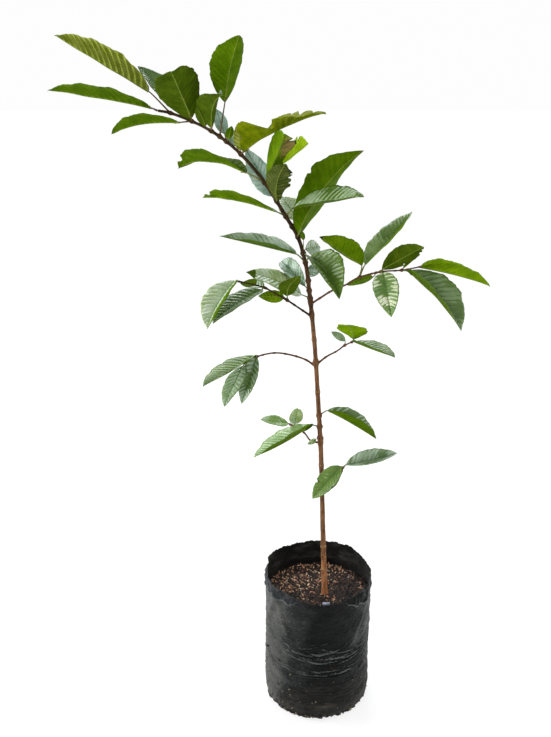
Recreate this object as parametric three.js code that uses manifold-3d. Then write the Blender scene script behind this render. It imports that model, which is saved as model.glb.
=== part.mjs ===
// A guava sapling in a round nursery bag: one slender stem that leans and then bends over to the left, six thin
// side boughs, and broad ribbed leaves in opposite pairs. Millimetres, +Z up, the middle of the bag's underside at
// the origin. +X is to the right of the plant's front and +Y is to its back.
import * as THREE from "three";
import { mergeVertices } from "three/addons/utils/BufferGeometryUtils.js";
import Module from "manifold-3d";

const wasm = await Module();
wasm.setup();

// Sizes of the bag and of the mix in it.
const BAG = { radius: 75, height: 199, foot: 62, wall: 2.2, sides: 36 };
const MIX = { top: 172, edgeDrop: 3, gap: 0.4 };

// Sizes of the limbs. A limb gets thinner from start to end by a power of the length that is left.
// CLEAR is the gap between two pieces, and SLIVER the size of the scraps that are tidied away after a cut.
const CLEAR = 0.35;
const SLIVER = 0.02;
const STEM = { start: 4, end: 1.1, taper: 1.4, flare: 1.4, flareLength: 9, sides: 8, step: 20 };
const BOUGH = { start: 1.7, end: 1.1, taper: 1, flare: 0.7, flareLength: 4, sides: 6, step: 10 };
const STALK = { start: 1, end: 0.5, sides: 4, sunk: 0.05, steps: 2 };
const COLLAR = { proud: 1.2, height: 4, sides: 8 };

// Sizes that all leaf blades share. The powers give the outline: how fast it widens at the base and closes at the tip.
const BLADE = { thick: 1.4, baseHalf: 1.1, tipHalf: 0.6, basePower: 0.62, tipPower: 0.9, steps: 7 };

const COLOURS = {
  bag: 0x1d2023,
  mix: 0x3b2418,
  bark: 0x6f4a2e,
  leaf: 0x4a7020,
};

const vec = (x, y, z) => new THREE.Vector3(x, y, z);
const radians = THREE.MathUtils.degToRad;

// A unit direction: turn goes round from +X towards +Y, rise goes up from level.
function direction(turn, rise) {
  const t = radians(turn);
  const r = radians(rise);
  return vec(Math.cos(r) * Math.cos(t), Math.cos(r) * Math.sin(t), Math.sin(r));
}

// A closed geometry as a solid that can be joined or cut.
function solidOf(geometry) {
  for (const name of ["normal", "uv"]) geometry.deleteAttribute(name);
  const merged = mergeVertices(geometry, 1e-4);
  return new wasm.Manifold(
    new wasm.Mesh({
      numProp: 3,
      vertProperties: merged.attributes.position.array,
      triVerts: new Uint32Array(merged.index.array),
    }),
  );
}

// Solids as one.
function joined(solids) {
  return solids.reduce((whole, piece) => whole.add(piece));
}

// A solid as a geometry again. Slivers and loose scraps that a cut leaves behind are dropped.
function geometryOf(solid) {
  const bodies = solid.simplify(SLIVER).decompose();
  const whole = bodies.reduce((a, b) => (b.volume() > a.volume() ? b : a));
  const mesh = whole.getMesh();
  const geometry = new THREE.BufferGeometry();
  geometry.setAttribute("position", new THREE.BufferAttribute(mesh.vertProperties, 3));
  geometry.setIndex(new THREE.BufferAttribute(mesh.triVerts, 1));
  geometry.computeVertexNormals();
  return geometry;
}

// Rings of points, all of one length, as a closed skin with flat ends.
function skin(rings) {
  const count = rings[0].length;
  const points = rings.flat().flatMap((p) => [p.x, p.y, p.z]);
  const faces = [];
  for (let i = 0; i + 1 < rings.length; i++) {
    for (let j = 0; j < count; j++) {
      const a = i * count + j;
      const b = i * count + ((j + 1) % count);
      faces.push(a, b, b + count, a, b + count, a + count);
    }
  }
  const last = (rings.length - 1) * count;
  for (let j = 1; j + 1 < count; j++) {
    faces.push(0, j + 1, j, last, last + j, last + j + 1);
  }
  const geometry = new THREE.BufferGeometry();
  geometry.setAttribute("position", new THREE.Float32BufferAttribute(points, 3));
  geometry.setIndex(faces);
  return geometry;
}

// The radius of a limb at a distance along it.
function radiusAt(limb, distance) {
  const left = 1 - distance / limb.length;
  const flare = limb.flare * Math.exp(-distance / limb.flareLength);
  return limb.end + (limb.start - limb.end) * left ** limb.taper + flare;
}

// The point at a distance along a limb. Past the limb's end it runs straight on.
function pointOn(limb, distance) {
  const share = Math.min(1, distance / limb.length);
  const past = Math.max(0, distance - limb.length);
  return limb.curve.getPointAt(share).addScaledVector(limb.curve.getTangentAt(share), past);
}

// A limb between two distances along its curve, its radius grown by an extra.
function limbSolid(limb, from, to, extra = 0) {
  const steps = limb.steps ?? Math.max(2, Math.round((to - from) / limb.step));
  const rings = [];
  for (let i = 0; i <= steps; i++) {
    const distance = from + ((to - from) * i) / steps;
    const share = Math.min(1, distance / limb.length);
    const centre = pointOn(limb, distance);
    const tangent = distance === 0 && limb.upright ? vec(0, 0, 1) : limb.curve.getTangentAt(share);
    const across = vec(0, 1, 0).cross(tangent).normalize();
    const ahead = tangent.clone().cross(across);
    const radius = radiusAt(limb, distance) + extra;
    const ring = [];
    for (let j = 0; j < limb.sides; j++) {
      const angle = (2 * Math.PI * j) / limb.sides;
      ring.push(
        centre
          .clone()
          .addScaledVector(across, radius * Math.cos(angle))
          .addScaledVector(ahead, radius * Math.sin(angle)),
      );
    }
    rings.push(ring);
  }
  return solidOf(skin(rings));
}

// A limb's curve and its sizes in one.
function makeLimb(route, sizes, more = {}) {
  const curve = new THREE.CatmullRomCurve3(route.map(([x, y, z]) => vec(x, y, z)));
  curve.arcLengthDivisions = 400;
  return { curve, length: curve.getLength(), ...sizes, ...more };
}

// One leaf: where its stalk leaves the limb (at, as a distance along it), the stalk's length, turn and rise, the
// blade's length and width, the turn and rise of the line from its base to its tip, how far the blade is rolled round
// that line, the fold of each half up from flat, and how far the line bows upwards and sideways, as shares of length.
function leaf(at, stalk, [length, width], [turn, rise, roll], fold, bow = 0, sweep = 0) {
  return { at, stalk, length, width, turn, rise, roll, fold, bow, sweep };
}

// The half width of a blade at a share of its length, 1 at the widest.
function outline(u) {
  const { basePower: a, tipPower: b } = BLADE;
  const widest = a / (a + b);
  return (u ** a * (1 - u) ** b) / (widest ** a * (1 - widest) ** b);
}

// A blade as a closed solid: a folded strip that narrows to both ends, one thickness through.
function bladeSolid(base, { length, width, turn, rise, roll, fold, bow, sweep }) {
  const along = direction(turn, rise);
  const up = vec(0, 0, 1).addScaledVector(along, -along.z).normalize();
  const aside = along.clone().cross(up);
  const normal = up.multiplyScalar(Math.cos(radians(roll))).addScaledVector(aside, Math.sin(radians(roll)));
  const side = along.clone().cross(normal);
  const half = BLADE.thick / 2 / Math.cos(radians(fold));
  const rings = [];
  for (let i = 0; i <= BLADE.steps; i++) {
    const u = i / BLADE.steps;
    const least = BLADE.baseHalf + (BLADE.tipHalf - BLADE.baseHalf) * u;
    const reach = Math.max(least, (outline(u) * width) / 2);
    const arch = 4 * u * (1 - u) * length;
    const middle = base
      .clone()
      .addScaledVector(along, u * length)
      .addScaledVector(normal, arch * bow)
      .addScaledVector(side, arch * sweep);
    const point = (v, lift) =>
      middle
        .clone()
        .addScaledVector(side, v * reach * Math.cos(radians(fold)))
        .addScaledVector(normal, Math.abs(v) * reach * Math.sin(radians(fold)) + lift);
    rings.push([-1, 0, 1].map((v) => point(v, half)).concat([1, 0, -1].map((v) => point(v, -half))));
  }
  return solidOf(skin(rings));
}

// A leaf with its stalk, from the middle of the limb that carries it. The stalk's end is sunk in the blade's root.
function leafSolids(carrier, one) {
  const [stalkLength, stalkTurn, stalkRise] = one.stalk;
  const start = pointOn(carrier, one.at);
  const base = start.clone().addScaledVector(direction(stalkTurn, stalkRise), stalkLength);
  const inside = base.clone().addScaledVector(direction(one.turn, one.rise), one.length * STALK.sunk);
  const route = [start, base, inside].map((p) => p.toArray());
  const stalk = makeLimb(route, { ...STALK, taper: 1, flare: 0, flareLength: 1 });
  return [limbSolid(stalk, 0, stalk.length), bladeSolid(base, one)];
}

// A ring round the stem, the swollen joint that a pair of leaves grows from.
function collarSolid(carrier, at) {
  const radius = radiusAt(carrier, at);
  const inner = (radius + CLEAR) / Math.cos(Math.PI / COLLAR.sides);
  const outer = radius + CLEAR + COLLAR.proud;
  const half = COLLAR.height / 2;
  const profile = [
    [inner, -half],
    [outer, 0],
    [inner, half],
    [inner, -half],
  ].map(([r, h]) => new THREE.Vector2(r, h));
  const ring = new THREE.LatheGeometry(profile, COLLAR.sides);
  const tangent = carrier.curve.getTangentAt(at / carrier.length);
  ring.applyQuaternion(new THREE.Quaternion().setFromUnitVectors(vec(0, 1, 0), tangent));
  ring.translate(...pointOn(carrier, at).toArray());
  return solidOf(ring);
}

// The stem, from the flat cut at the top of the mix to its tip.
const stem = makeLimb(
  [
    [9, -17, MIX.top + 0.3],
    [5, -15, 267],
    [1, -10, 375],
    [-4, -6, 456],
    [-10, -3, 537],
    [-17, 0, 602],
    [-23, 0, 644],
    [-33, 0, 677],
    [-49, 0, 704],
    [-75, 0, 745],
    [-104, 0, 779],
    [-139, -1, 806],
    [-187, -5, 827],
    [-203, -7, 830],
  ],
  STEM,
  { upright: true },
);
const stemRoom = limbSolid(stem, 0, stem.length, CLEAR);

// The leaves that grow straight from the stem, one row for each joint, from the lowest.
const STEM_LEAVES = [
  [leaf(235, [6, 177, -18], [15, 8], [-147, -15, -80], 25)],
  [
    leaf(251, [10, 160, 5], [105, 49], [-138, -9, 20], 30, -0.02, 0.01),
    leaf(251, [10, -178, 18], [15, 7], [-159, -32, -10], 15),
  ],
  [leaf(267, [13, 18, 25], [93, 36], [22, -35, 23], 62, 0.05, 0.06)],
  [leaf(427, [15, 136, 8], [79, 41], [-171, 24, -26], 10, 0.03, 0.05)],
  [leaf(437, [9, 132, 30], [77, 34], [114, 14, -33], 50, 0.07)],
  [leaf(450, [6, 76, 50], [32, 16], [58, 25, 35], 15)],
  [
    leaf(474, [15, 169, 42], [100, 46], [-176, 14, -8], 26),
    leaf(474, [13, -56, 42], [110, 54], [-73, -16, 10], 45, 0.02, -0.05),
  ],
  [
    leaf(486, [7, 53, 40], [30, 15], [48, -3, 70], 15, 0, -0.04),
    leaf(486, [18, -88, 76], [14, 7], [-133, 69, 35], 25),
  ],
  [leaf(508, [9, -84, 31], [129, 68], [-10, 53, -58], 48, 0.08, 0.04)],
  [leaf(523, [11, 42, 37], [46, 22], [122, 34, -25], 20, 0, 0.03)],
  [
    leaf(538, [14, 162, 23], [119, 54], [145, 5, 23], 15, 0.02, -0.05),
    leaf(538, [17, -41, 43], [107, 57], [-40, 12, 19], 25, -0.01, -0.02),
  ],
  [
    leaf(560, [10, 110, 30], [69, 32], [158, 56, -75], 30),
    leaf(560, [8, -89, 13], [71, 34], [-78, 43, -30], 22, 0, 0.07),
    leaf(560, [43, 51, 83], [56, 26], [43, 26, -48], 15),
  ],
  [
    leaf(587, [27, 161, 25], [122, 60], [140, -1, 14], 23, 0.08, -0.09),
    leaf(587, [7, -52, 46], [114, 52], [-78, 31, -36], 50, 0.04),
  ],
  [
    leaf(632, [8, -59, 22], [116, 71], [-24, 24, 6], 25, 0.05, 0.05),
    leaf(632, [5, -96, 68], [35, 16], [-99, 73, 23], 24),
  ],
  [
    leaf(655, [11, 112, 52], [36, 17], [119, 53, -25], 20),
    leaf(655, [7, -63, 24], [22, 11], [-72, 48, 0], 17),
    leaf(655, [7, 113, -7], [37, 18], [55, -10, 65], 29, 0.04, -0.05),
  ],
  [leaf(665, [42, -45, 75], [109, 52], [-75, 40, 4], 43, 0.04, 0.01)],
  [
    leaf(677, [8, -82, 27], [84, 42], [-76, 28, 15], 48, 0.09, 0.02),
    leaf(677, [10, -142, 36], [34, 16], [-111, 44, 28], 24, 0, -0.03),
  ],
  [
    leaf(703, [15, -160, -5], [101, 46], [155, -9, 8], 23, 0.04, -0.08),
    leaf(703, [8, -87, 26], [105, 58], [-98, 30, 25], 28, 0.1, 0),
    leaf(703, [6, 106, 30], [88, 40], [169, 43, -31], 23),
  ],
  [leaf(730, [35, -178, 45], [128, 73], [173, 30, 12], 33, -0.01, -0.03)],
];
const TIP_LEAF = leaf(0, [7, -171, 24], [130, 70], [172, 9, 8], 20, 0, -0.1);

// The side boughs, from the lowest. Each starts inside the stem and is cut clear of it. The bough ends at its split,
// where its mass of leaves takes over with a stem of its own on the same curve.
const BOUGHS = {
  bough_low_right: {
    route: [
      [4, -12, 333],
      [18, -13, 337],
      [27, -15, 355],
      [31, -17, 369],
    ],
    split: 40,
    mass: "foliage_low_right",
    leaves: [
      leaf(49, [5, 38, 23], [77, 35], [19, 5, 42], 52, 0.01, 0.02),
      leaf(49, [5, -126, 25], [62, 31], [178, -51, -50], 28, 0.01, -0.01),
    ],
  },
  bough_low_left: {
    route: [
      [-1, -8, 400],
      [-13, -7, 402],
      [-22, -3, 412],
      [-39, 5, 420],
      [-43, 8, 421],
    ],
    split: 40,
    mass: "foliage_low_left",
    leaves: [
      leaf(50, [5, 120, 0], [44, 23], [-152, 17, -22], 15, -0.02, 0.01),
      leaf(46, [4, -17, 26], [35, 19], [-77, 63, 176], 4, -0.02, 0),
    ],
  },
  bough_middle_left: {
    route: [
      [-11, -4, 509],
      [-22, -6, 517],
      [-47, -11, 526],
      [-63, -13, 528],
      [-85, -16, 524],
      [-107, -20, 514],
    ],
    split: 72,
    mass: "foliage_middle_left",
    leaves: [
      leaf(80, [3, 180, 20], [99, 46], [-129, -9, 14], 23, -0.02, 0.02),
      leaf(80, [4, -100, 10], [64, 28], [-144, -68, -39], 36),
      leaf(95, [7, -156, -47], [69, 32], [-112, -31, 17], 10),
    ],
  },
  bough_middle_right: {
    route: [
      [-5, -3, 511],
      [7, -1, 520],
      [20, 0, 527],
      [30, 2, 534],
      [41, 3, 539],
    ],
    split: 36,
    mass: "foliage_middle_right",
    leaves: [
      leaf(42, [6, 71, 68], [23, 11], [-174, 35, 80], 24),
      leaf(53, [6, -62, 56], [64, 40], [-102, 31, 0], 10, 0.03),
      leaf(53, [8, 65, -13], [72, 39], [-49, -4, -10], 25, -0.01, -0.01),
    ],
  },
  bough_upper_left: {
    route: [
      [-16, -1, 575],
      [-28, -4, 584],
      [-46, -8, 597],
      [-59, -10, 605],
      [-76, -13, 615],
      [-97, -16, 621],
      [-109, -18, 624],
    ],
    split: 30,
    mass: "foliage_upper_left",
    leaves: [
      leaf(38, [6, -2, 87], [55, 26], [-69, 39, -7], 10, 0, 0.1),
      leaf(38, [9, 117, 16], [36, 17], [158, -3, 100], 14),
      leaf(70, [9, 106, 2], [42, 19], [139, -2, -30], 21),
      leaf(74, [4, -116, -39], [87, 40], [-136, -19, 0], 19, 0.02, 0.02),
      leaf(106, [4, -171, 16], [91, 44], [-113, -28, 11], 31, 0.02, 0.05),
    ],
  },
  bough_upper_right: {
    route: [
      [-14, 0, 591],
      [-3, -2, 599],
      [10, -4, 608],
      [28, -8, 617],
      [43, -12, 627],
      [71, -18, 636],
      [97, -22, 639],
      [120, -25, 644],
    ],
    split: 64,
    mass: "foliage_upper_right",
    leaves: [
      leaf(71, [15, 7, 80], [87, 41], [-139, 31, 28], 39),
      leaf(71, [18, 30, 62], [101, 44], [39, 36, -8], 29, 0, 0.06),
      leaf(93, [10, 112, -43], [36, 16], [163, -21, -31], 10),
      leaf(99, [4, -55, 55], [74, 34], [-48, 30, -62], 42, 0.02),
      leaf(99, [6, -73, 0], [72, 35], [-85, -35, 14], 25),
      leaf(125, [4, 39, 45], [32, 15], [22, 39, -35], 30, -0.04),
      leaf(125, [8, -28, -3], [107, 64], [-51, -33, -10], 37, 0.01, -0.07),
      leaf(148, [4, 73, -17], [100, 44], [12, -17, -1], 43, 0.03, 0.07),
    ],
  },
};

const part = new THREE.Group();

// Adds a sub-part with its own finish.
function add(name, geometry, color, roughness) {
  const material = new THREE.MeshStandardMaterial({ color, roughness, metalness: 0 });
  const mesh = new THREE.Mesh(geometry, material);
  mesh.name = name;
  part.add(mesh);
}

// How far the torn rim stands over or under the bag's height at an angle round it, from +X towards +Y.
function rimWave(angle) {
  const notch = 5 * Math.exp(-(((angle + 1.4) / 0.28) ** 2));
  return 5.5 * Math.sin(angle) - 3 * Math.cos(angle) + 1.2 * Math.sin(5 * angle + 1) - notch;
}

// The bag: a round film bag with a flat underside, a soft rounded bottom edge and a wavy torn rim.
function bagGeometry() {
  const { radius, height, foot, wall, sides } = BAG;
  const profile = [
    [0, 0],
    [foot, 0],
    [radius - 5, 4],
    [radius - 1, 12],
    [radius, 26],
    [radius, MIX.top],
    [radius, height],
    [radius - wall, height],
    [radius - wall, MIX.top],
    [radius - wall, 26],
    [radius - wall - 1, 13],
    [radius - wall - 5, 5.5],
    [foot - 1, wall],
    [0, wall],
  ].map(([r, h]) => new THREE.Vector2(r, h));
  const geometry = new THREE.LatheGeometry(profile, sides).rotateX(Math.PI / 2);
  const position = geometry.attributes.position;
  for (let i = 0; i < position.count; i++) {
    const z = position.getZ(i);
    if (z > MIX.top + 1) position.setZ(i, z + rimWave(Math.atan2(position.getY(i), position.getX(i))));
  }
  return geometryOf(solidOf(geometry));
}

// The potting mix that fills the bag, level where the stem stands and a little lower at its edge.
function mixGeometry() {
  const edge = BAG.radius - BAG.wall - MIX.gap;
  const floor = BAG.wall + MIX.gap;
  const profile = [
    [0, floor],
    [BAG.foot - 1.4, floor],
    [edge - 5, floor + 3.6],
    [edge - 1, 14],
    [edge, 27],
    [edge, MIX.top - MIX.edgeDrop],
    [edge - 12, MIX.top],
    [0, MIX.top],
  ].map(([r, h]) => new THREE.Vector2(r, h));
  return geometryOf(solidOf(new THREE.LatheGeometry(profile, BAG.sides).rotateX(Math.PI / 2)));
}

add("nursery_bag", bagGeometry(), COLOURS.bag, 0.45);
add("potting_mix", mixGeometry(), COLOURS.mix, 0.95);
add("stem", geometryOf(limbSolid(stem, 0, stem.length)), COLOURS.bark, 0.8);

STEM_LEAVES.forEach((leaves, i) => {
  const pieces = leaves.flatMap((one) => leafSolids(stem, one));
  const mass = joined([collarSolid(stem, leaves[0].at), ...pieces]);
  const number = String(i + 1).padStart(2, "0");
  add(`stem_leaves_${number}`, geometryOf(mass.subtract(stemRoom)), COLOURS.leaf, 0.5);
});

// The last leaf grows on from the stem's own tip.
const tipLeaf = joined(leafSolids(stem, { ...TIP_LEAF, at: stem.length + CLEAR }));
add("stem_leaves_tip", geometryOf(tipLeaf.subtract(stemRoom)), COLOURS.leaf, 0.5);

for (const [name, { route, split, mass, leaves }] of Object.entries(BOUGHS)) {
  const bough = makeLimb(route, BOUGH);
  const limbPart = limbSolid(bough, 0, split - CLEAR / 2).subtract(stemRoom);
  add(name, geometryOf(limbPart), COLOURS.bark, 0.8);
  const pieces = leaves.flatMap((one) => leafSolids(bough, one));
  const foliage = joined([limbSolid(bough, split + CLEAR / 2, bough.length), ...pieces]);
  const room = limbSolid(bough, 0, split - CLEAR / 2, CLEAR).add(stemRoom);
  add(mass, geometryOf(foliage.subtract(room)), COLOURS.leaf, 0.5);
}

export default part;
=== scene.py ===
# %% [markdown]
# A guava sapling in a nursery bag, dressed for its picture. The solids are already right in size and place.
# This lesson gives them what a solid can't hold: ribbed and bitten leaf blades, stalks, bark with joints, a
# creased black film bag and a loose mix of bark and coir. Every piece is made in the frame of the solids, so
# nothing is fitted by eye afterwards.

import math

import bmesh
import bpy
import numpy as np
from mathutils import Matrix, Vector


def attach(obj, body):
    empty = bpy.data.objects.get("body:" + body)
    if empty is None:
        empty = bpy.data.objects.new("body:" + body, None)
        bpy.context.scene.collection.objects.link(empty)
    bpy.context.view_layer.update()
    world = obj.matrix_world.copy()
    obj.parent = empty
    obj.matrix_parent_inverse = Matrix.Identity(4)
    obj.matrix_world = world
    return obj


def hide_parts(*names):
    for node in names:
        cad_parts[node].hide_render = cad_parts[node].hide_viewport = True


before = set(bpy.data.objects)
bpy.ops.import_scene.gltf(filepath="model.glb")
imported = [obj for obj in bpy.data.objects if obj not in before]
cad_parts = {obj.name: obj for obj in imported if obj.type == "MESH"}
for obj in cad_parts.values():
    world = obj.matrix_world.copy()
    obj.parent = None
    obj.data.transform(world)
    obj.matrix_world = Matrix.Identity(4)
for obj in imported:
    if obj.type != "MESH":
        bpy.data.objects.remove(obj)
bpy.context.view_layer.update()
scene = bpy.context.scene
MM = 0.001

# %% [markdown]
# The camera comes first, because each later choice is judged through it. It stands 1.1 m in front and 0.86 m
# up, looks 18 degrees down, and is a little to the left of the bag. Its lens follows from how round the bag's
# rim, its mix and its foot look in the picture.

# %% The camera
LOOKS_DOWN = 18  # degrees
camera = bpy.data.objects.new("camera", bpy.data.cameras.new("camera"))
scene.collection.objects.link(camera)
camera.location = (-0.061, -1.1, 0.86)
camera.rotation_euler = (math.radians(90 - LOOKS_DOWN), 0, 0)
camera.data.sensor_width = 36
camera.data.lens = 42.74
scene.camera = camera
print("camera", tuple(camera.location), "lens", camera.data.lens)

# %% [markdown]
# Materials need a few helpers. Colours are picked as sRGB hex values, as a painter reads them from a screen,
# and Blender wants them linear. One small function adds a node, sets its properties and fills or links its
# inputs. Two more open a material and close it with its shader, so each finish below reads as a short list.

# %% Colour and node helpers


def linear(code):
    """An sRGB hex value as linear red, green, blue and alpha."""
    parts = [int(code[i : i + 2], 16) / 255 for i in (1, 3, 5)]
    return (*[c / 12.92 if c <= 0.04045 else ((c + 0.055) / 1.055) ** 2.4 for c in parts], 1.0)


def mixed(code, other, share):
    """A hex colour part of the way to another one."""
    pairs = [(int(code[i : i + 2], 16), int(other[i : i + 2], 16)) for i in (1, 3, 5)]
    return "#" + "".join(f"{round(a + (b - a) * share):02x}" for a, b in pairs)


def add(tree, kind, inputs=None, stops=(), **settings):
    """A node with its settings. Shader kinds leave out their first word, ShaderNode. An input is a value, a
    socket or a node, whose first output is meant. Stops are a colour ramp's positions and hex values."""
    node = tree.nodes.new(kind if "Node" in kind else f"ShaderNode{kind}")
    for name, value in settings.items():
        setattr(node, name, value)
    for name, value in (inputs or {}).items():
        value = value.outputs[0] if isinstance(value, bpy.types.Node) else value
        if isinstance(value, bpy.types.NodeSocket):
            tree.links.new(value, node.inputs[name])
        else:
            node.inputs[name].default_value = value
    for spot, (position, code) in enumerate(stops):
        elements = node.color_ramp.elements
        stop = elements[spot] if spot < len(elements) else elements.new(position)
        stop.position, stop.color = position, linear(code)
    return node


def begin(name):
    """A new material, its empty tree and the socket that says where a point lies on its piece."""
    made = bpy.data.materials.new(name)
    made.use_nodes = True
    made.node_tree.nodes.clear()
    return made, made.node_tree, add(made.node_tree, "TexCoord").outputs["Object"]


def close(made, sockets):
    """Gives a material its shader, with these sockets."""
    shader = add(made.node_tree, "BsdfPrincipled", sockets)
    add(made.node_tree, "OutputMaterial", {"Surface": shader})
    return made


print("white is", [round(c, 3) for c in linear("#ffffff")])

# %% [markdown]
# The light is a white studio with a dimmer ceiling, because waxy leaves and black film only show their relief
# when part of what they mirror is bright and part is dark. The softbox behind and above, a little blue, puts
# the pale glare on the leaves, the two at the sides put sheen on the bag, and the one in front fills in. The
# floor is a sheet of pale acrylic lit from below, as product photographers use: it stays nearly white and
# still takes a soft shadow. Its light is a little dimmer near the plant than far behind.

# %% Light and floor
CEILING = 0.5  # how bright the ceiling is beside the white walls
GLOW = (0.77, 0.84)  # the light that comes up through the sheet, round the plant and far behind it
FLOOR_REACH = 30
scene.view_settings.view_transform = "Standard"
scene.world = bpy.data.worlds.new("studio")
scene.world.use_nodes = True
tree = scene.world.node_tree
upward = add(tree, "SeparateXYZ", {0: add(tree, "TexCoord").outputs["Generated"]}).outputs["Z"]
dimmer = {"Value": upward, "From Min": 0.12, "From Max": 0.5, "To Min": 0.985, "To Max": CEILING}
sky = tree.nodes["Background"].inputs
tree.links.new(add(tree, "MapRange", dimmer).outputs[0], sky["Strength"])
sky["Color"].default_value = (1, 1, 1, 1)

# Each softbox: its side, its place, the height it is aimed at, its size in metres, its watts and its colour.
for side, place, aim, size, watts, tint in (
    ("front", (-1.2, -2.0, 1.5), 0.5, 1.4, 16, (1, 1, 1)),
    ("left", (-1.5, 0.1, 0.9), 0.2, 0.8, 18, (1, 1, 1)),
    ("right", (1.5, 0.3, 0.9), 0.2, 0.8, 7, (1, 1, 1)),
    ("back", (-0.2, 1.5, 2.1), 0.6, 1.1, 30, (0.9, 0.96, 1.0)),
):
    light = bpy.data.lights.new(f"softbox_{side}", "AREA")
    light.size, light.energy, light.color = size, watts, tint
    lamp = bpy.data.objects.new(light.name, light)
    lamp.location = place
    lamp.rotation_euler = (Vector((0, 0, aim)) - Vector(place)).to_track_quat("-Z", "Y").to_euler()
    scene.collection.objects.link(lamp)

acrylic, tree, where = begin("pale_acrylic_lit_from_below")
away = {"Value": add(tree, "SeparateXYZ", {0: where}).outputs["Y"], "From Min": 0.25, "From Max": 1.5}
glow = add(tree, "MapRange", away | {"To Min": GLOW[0], "To Max": GLOW[1]})
lit = {"Base Color": (0.28, 0.28, 0.28, 1), "Roughness": 0.9, "Specular IOR Level": 0.1}
floor_mesh = bpy.data.meshes.new("floor")
corners = [(x * FLOOR_REACH, y * FLOOR_REACH, 0) for x, y in ((-1, -1), (1, -1), (1, 1), (-1, 1))]
floor_mesh.from_pydata(corners, [], [(0, 1, 2, 3)])
floor_mesh.materials.append(close(acrylic, lit | {"Emission Color": (1, 1, 1, 1), "Emission Strength": glow}))
floor = bpy.data.objects.new("floor", floor_mesh)
scene.collection.objects.link(floor)

# %% [markdown]
# A guava leaf's upper face has a waxy skin, IOR about 1.5, that mirrors the sky in a pale blue glare. Its
# underside is matt and fuller green. Between the veins runs a net of fine ones, two to three millimetres from
# mesh to mesh, which is drawn as bump. Colours that belong to a place, such as a limy young leaf, can't come
# from a pattern on a joined piece, so each leaf is dealt one plain pair of tints, and noise only clouds it a
# little. Each top tint has two paler finishes for the crests between veins, with bright and with soft glare
# painted into their tints, and each underside a darker one with painted shade for the flanks of its ribs.
# This painted glare and shade draw the stripes of a guava leaf in any light. Satin tops have a duller wax,
# and sunlit ones have crests in full glare, painted in the same way.

# %% Leaf finishes


def leaf_skin(name, deep, pale, roughness, gloss, net):
    """One face of a blade: clouds between two tints, the net of fine veins as bump, and wax or matt skin."""
    made, tree, where = begin(name)
    clouds = add(tree, "TexNoise", {"Vector": where, "Scale": 70, "Detail": 5, "Roughness": 0.65})
    tint = add(tree, "ValToRGB", {"Fac": clouds}, [(0.36, deep), (0.66, pale)])
    veins = add(tree, "TexVoronoi", {"Vector": where, "Scale": 420}, feature="DISTANCE_TO_EDGE")
    grain = add(tree, "TexNoise", {"Vector": where, "Scale": 900, "Detail": 3})
    low = add(tree, "Bump", {"Height": grain, "Strength": 0.25, "Distance": 0.0003})
    bump = add(tree, "Bump", {"Height": veins, "Strength": net, "Distance": 0.0012, "Normal": low})
    wax = add(tree, "MapRange", {"Value": clouds, "To Min": roughness - 0.06, "To Max": roughness + 0.08})
    skin = {"Base Color": tint, "Roughness": wax, "IOR": 1.5, "Specular IOR Level": gloss, "Normal": bump}
    return close(made, skin)


TOP_TINTS = {
    "mid": ("#446424", "#5e7c38"),
    "pale": ("#56723e", "#7c9668"),
    "blue": ("#507048", "#769278"),
    # Painted glare: these tops are paler and creamier with the glare they catch.
    "cream": ("#7c9a50", "#c6d0a2"),
    "frost": ("#749480", "#a0bcac"),
    "fresh": ("#668e36", "#8aa858"),
    "sunlit": ("#5c8236", "#84a45a"),
    "satin": ("#466614", "#607e28"),
}
UNDER_TINTS = {
    "bright": ("#4c6c02", "#678408"),
    "mid": ("#446202", "#587608"),
    "dark": ("#3a4f06", "#50640e"),
    "olive": ("#74801e", "#9ca44c"),
    # A yellow-green blade, made paler with painted light of the sun shining through it.
    "yellow": ("#6c7e04", "#8e9a0a"),
    "lime": ("#769602", "#92b00a"),
    "young": ("#648604", "#80a00a"),
    # Painted light: the sun shining strongly through a pale green blade.
    "glowing": ("#9cc00a", "#bada24"),
    "grey": ("#3e4a1a", "#606a34"),
}
# The pale tint of the painted glare on the crests, and the dark of the painted shade on the rib flanks.
PAINTED_GLARE_TINT, SHADE = "#c6d6cc", "#1c2600"
# A crest's finish of painted glare: its name, how far its two tints go to the glare's pale tint, its
# roughness and how much glossier it is.
CRESTS = {"bright": ("worn_wax", 0.5, 0.68, 0.3, 0.1), "soft": ("thin_wax", 0.2, 0.3, 0.32, 0.05)}
leaf_finish = {}
for tint, (deep, pale) in TOP_TINTS.items():
    gloss = 0.37 if tint == "satin" else 0.6
    leaf_finish["top", tint] = leaf_skin(f"guava_leaf_waxy_top_{tint}", deep, pale, 0.34, gloss, 0.32)
    for wax, (name, low, high, roughness, more) in CRESTS.items():
        worn = mixed(deep, PAINTED_GLARE_TINT, low), mixed(pale, PAINTED_GLARE_TINT, high)
        crest = leaf_skin(f"guava_leaf_{name}_{tint}", *worn, roughness, gloss + more, 0.3)
        leaf_finish[f"{wax} crest", tint] = crest
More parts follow.
